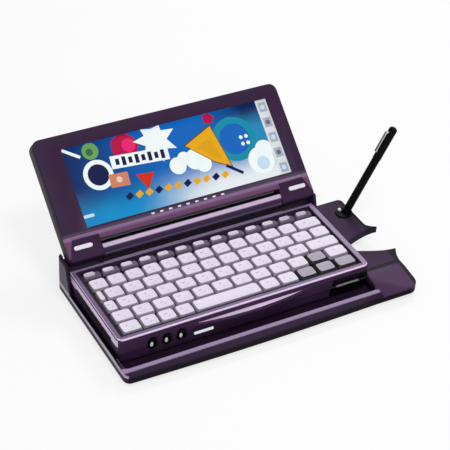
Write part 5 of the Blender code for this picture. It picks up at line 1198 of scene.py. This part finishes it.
def make_floor():
    """A pale floor that keeps the object's shadow and turns white under the camera."""
    mesh = bpy.data.meshes.new("floor")
    corners = [(-FLOOR_HALF, -FLOOR_HALF), (FLOOR_HALF, -FLOOR_HALF), (FLOOR_HALF, FLOOR_HALF),
               (-FLOOR_HALF, FLOOR_HALF)]
    mesh.from_pydata([(x, y, -FLOOR_DROP) for x, y in corners], [], [(0, 1, 2, 3)])
    floor = bpy.data.objects.new("floor", mesh)
    bpy.context.scene.collection.objects.link(floor)
    material, tree, shader = new_material("pale_floor")
    shader.inputs["Base Color"].default_value = (0.86, 0.86, 0.86, 1.0)
    shader.inputs["Roughness"].default_value = 0.9
    glow = tree.nodes.new("ShaderNodeEmission")
    glow.inputs["Color"].default_value = (1.0, 1.0, 1.0, 1.0)
    share = tree.nodes.new("ShaderNodeMath")
    share.operation = "MULTIPLY"
    share.inputs[1].default_value = FLOOR_WHITENING
    tree.links.new(background_rays(tree), share.inputs[0])
    mix = tree.nodes.new("ShaderNodeMixShader")
    tree.links.new(share.outputs["Value"], mix.inputs["Fac"])
    tree.links.new(shader.outputs["BSDF"], mix.inputs[1])
    tree.links.new(glow.outputs["Emission"], mix.inputs[2])
    tree.links.new(mix.outputs["Shader"], tree.nodes["Material Output"].inputs["Surface"])
    mesh.materials.append(material)


def make_world():
    """Even white light, and a white background."""
    world = bpy.data.worlds.new("studio")
    world.use_nodes = True
    tree = world.node_tree
    background = tree.nodes["Background"]
    background.inputs["Color"].default_value = (1.0, 1.0, 1.0, 1.0)
    span = tree.nodes.new("ShaderNodeMapRange")
    span.inputs["To Min"].default_value = WORLD_LIGHT
    span.inputs["To Max"].default_value = 1.0
    tree.links.new(background_rays(tree), span.inputs["Value"])
    tree.links.new(span.outputs["Result"], background.inputs["Strength"])
    bpy.context.scene.world = world


def softbox(name, place, target, size, watts):
    """A large soft lamp that looks at the target."""
    lamp = bpy.data.lights.new(name, "AREA")
    lamp.shape = "SQUARE"
    lamp.size = size
    lamp.energy = watts
    holder = bpy.data.objects.new(name, lamp)
    holder.location = place
    holder.rotation_euler = (Vector(target) - Vector(place)).to_track_quat("-Z", "Y").to_euler()
    bpy.context.scene.collection.objects.link(holder)


def make_lamps():
    """A key from high at the rear right, a small bright lamp overhead and a fill from the front left."""
    softbox("rear_right_softbox", (0.58, 0.55, 0.95), LAMP_TARGET, 0.35, 5.0)
    softbox("overhead_softbox", (0.0, -0.36, 1.05), LAMP_TARGET, 0.25, 4.0)
    softbox("front_left_softbox", (-0.45, -0.80, 0.75), LAMP_TARGET, 0.50, 1.5)


def make_camera():
    """The photograph's viewpoint and lens."""
    data = bpy.data.cameras.new("photo_camera")
    data.sensor_width = SENSOR_WIDTH
    data.sensor_fit = "HORIZONTAL"
    data.lens = FOCAL_PIXELS / IMAGE_PIXELS * SENSOR_WIDTH
    data.clip_start = 0.05
    data.clip_end = 20.0
    azimuth, elevation = CAMERA_AZIMUTH, CAMERA_ELEVATION
    back = Vector((math.sin(azimuth) * math.cos(elevation), -math.cos(azimuth) * math.cos(elevation),
                   math.sin(elevation)))
    level = Vector((math.cos(azimuth), math.sin(azimuth), 0.0))
    rise = level.cross(-back)
    right = level * math.cos(CAMERA_ROLL) + rise * math.sin(CAMERA_ROLL)
    up = rise * math.cos(CAMERA_ROLL) - level * math.sin(CAMERA_ROLL)
    place = at(0.0, 0.0, AIM_HEIGHT) + back * CAMERA_DISTANCE + right * CAMERA_RIGHT + up * CAMERA_UP
    camera = bpy.data.objects.new("photo_camera", data)
    camera.matrix_world = Matrix(((right.x, up.x, back.x, place.x), (right.y, up.y, back.y, place.y),
                                  (right.z, up.z, back.z, place.z), (0.0, 0.0, 0.0, 1.0)))
    bpy.context.scene.collection.objects.link(camera)
    bpy.context.scene.camera = camera


make_camera()
make_world()
make_lamps()
make_floor()
make_mouldings()
make_keys()
make_gasket()
make_screen()
make_small_marks()
bpy.context.scene.view_settings.view_transform = "Standard"
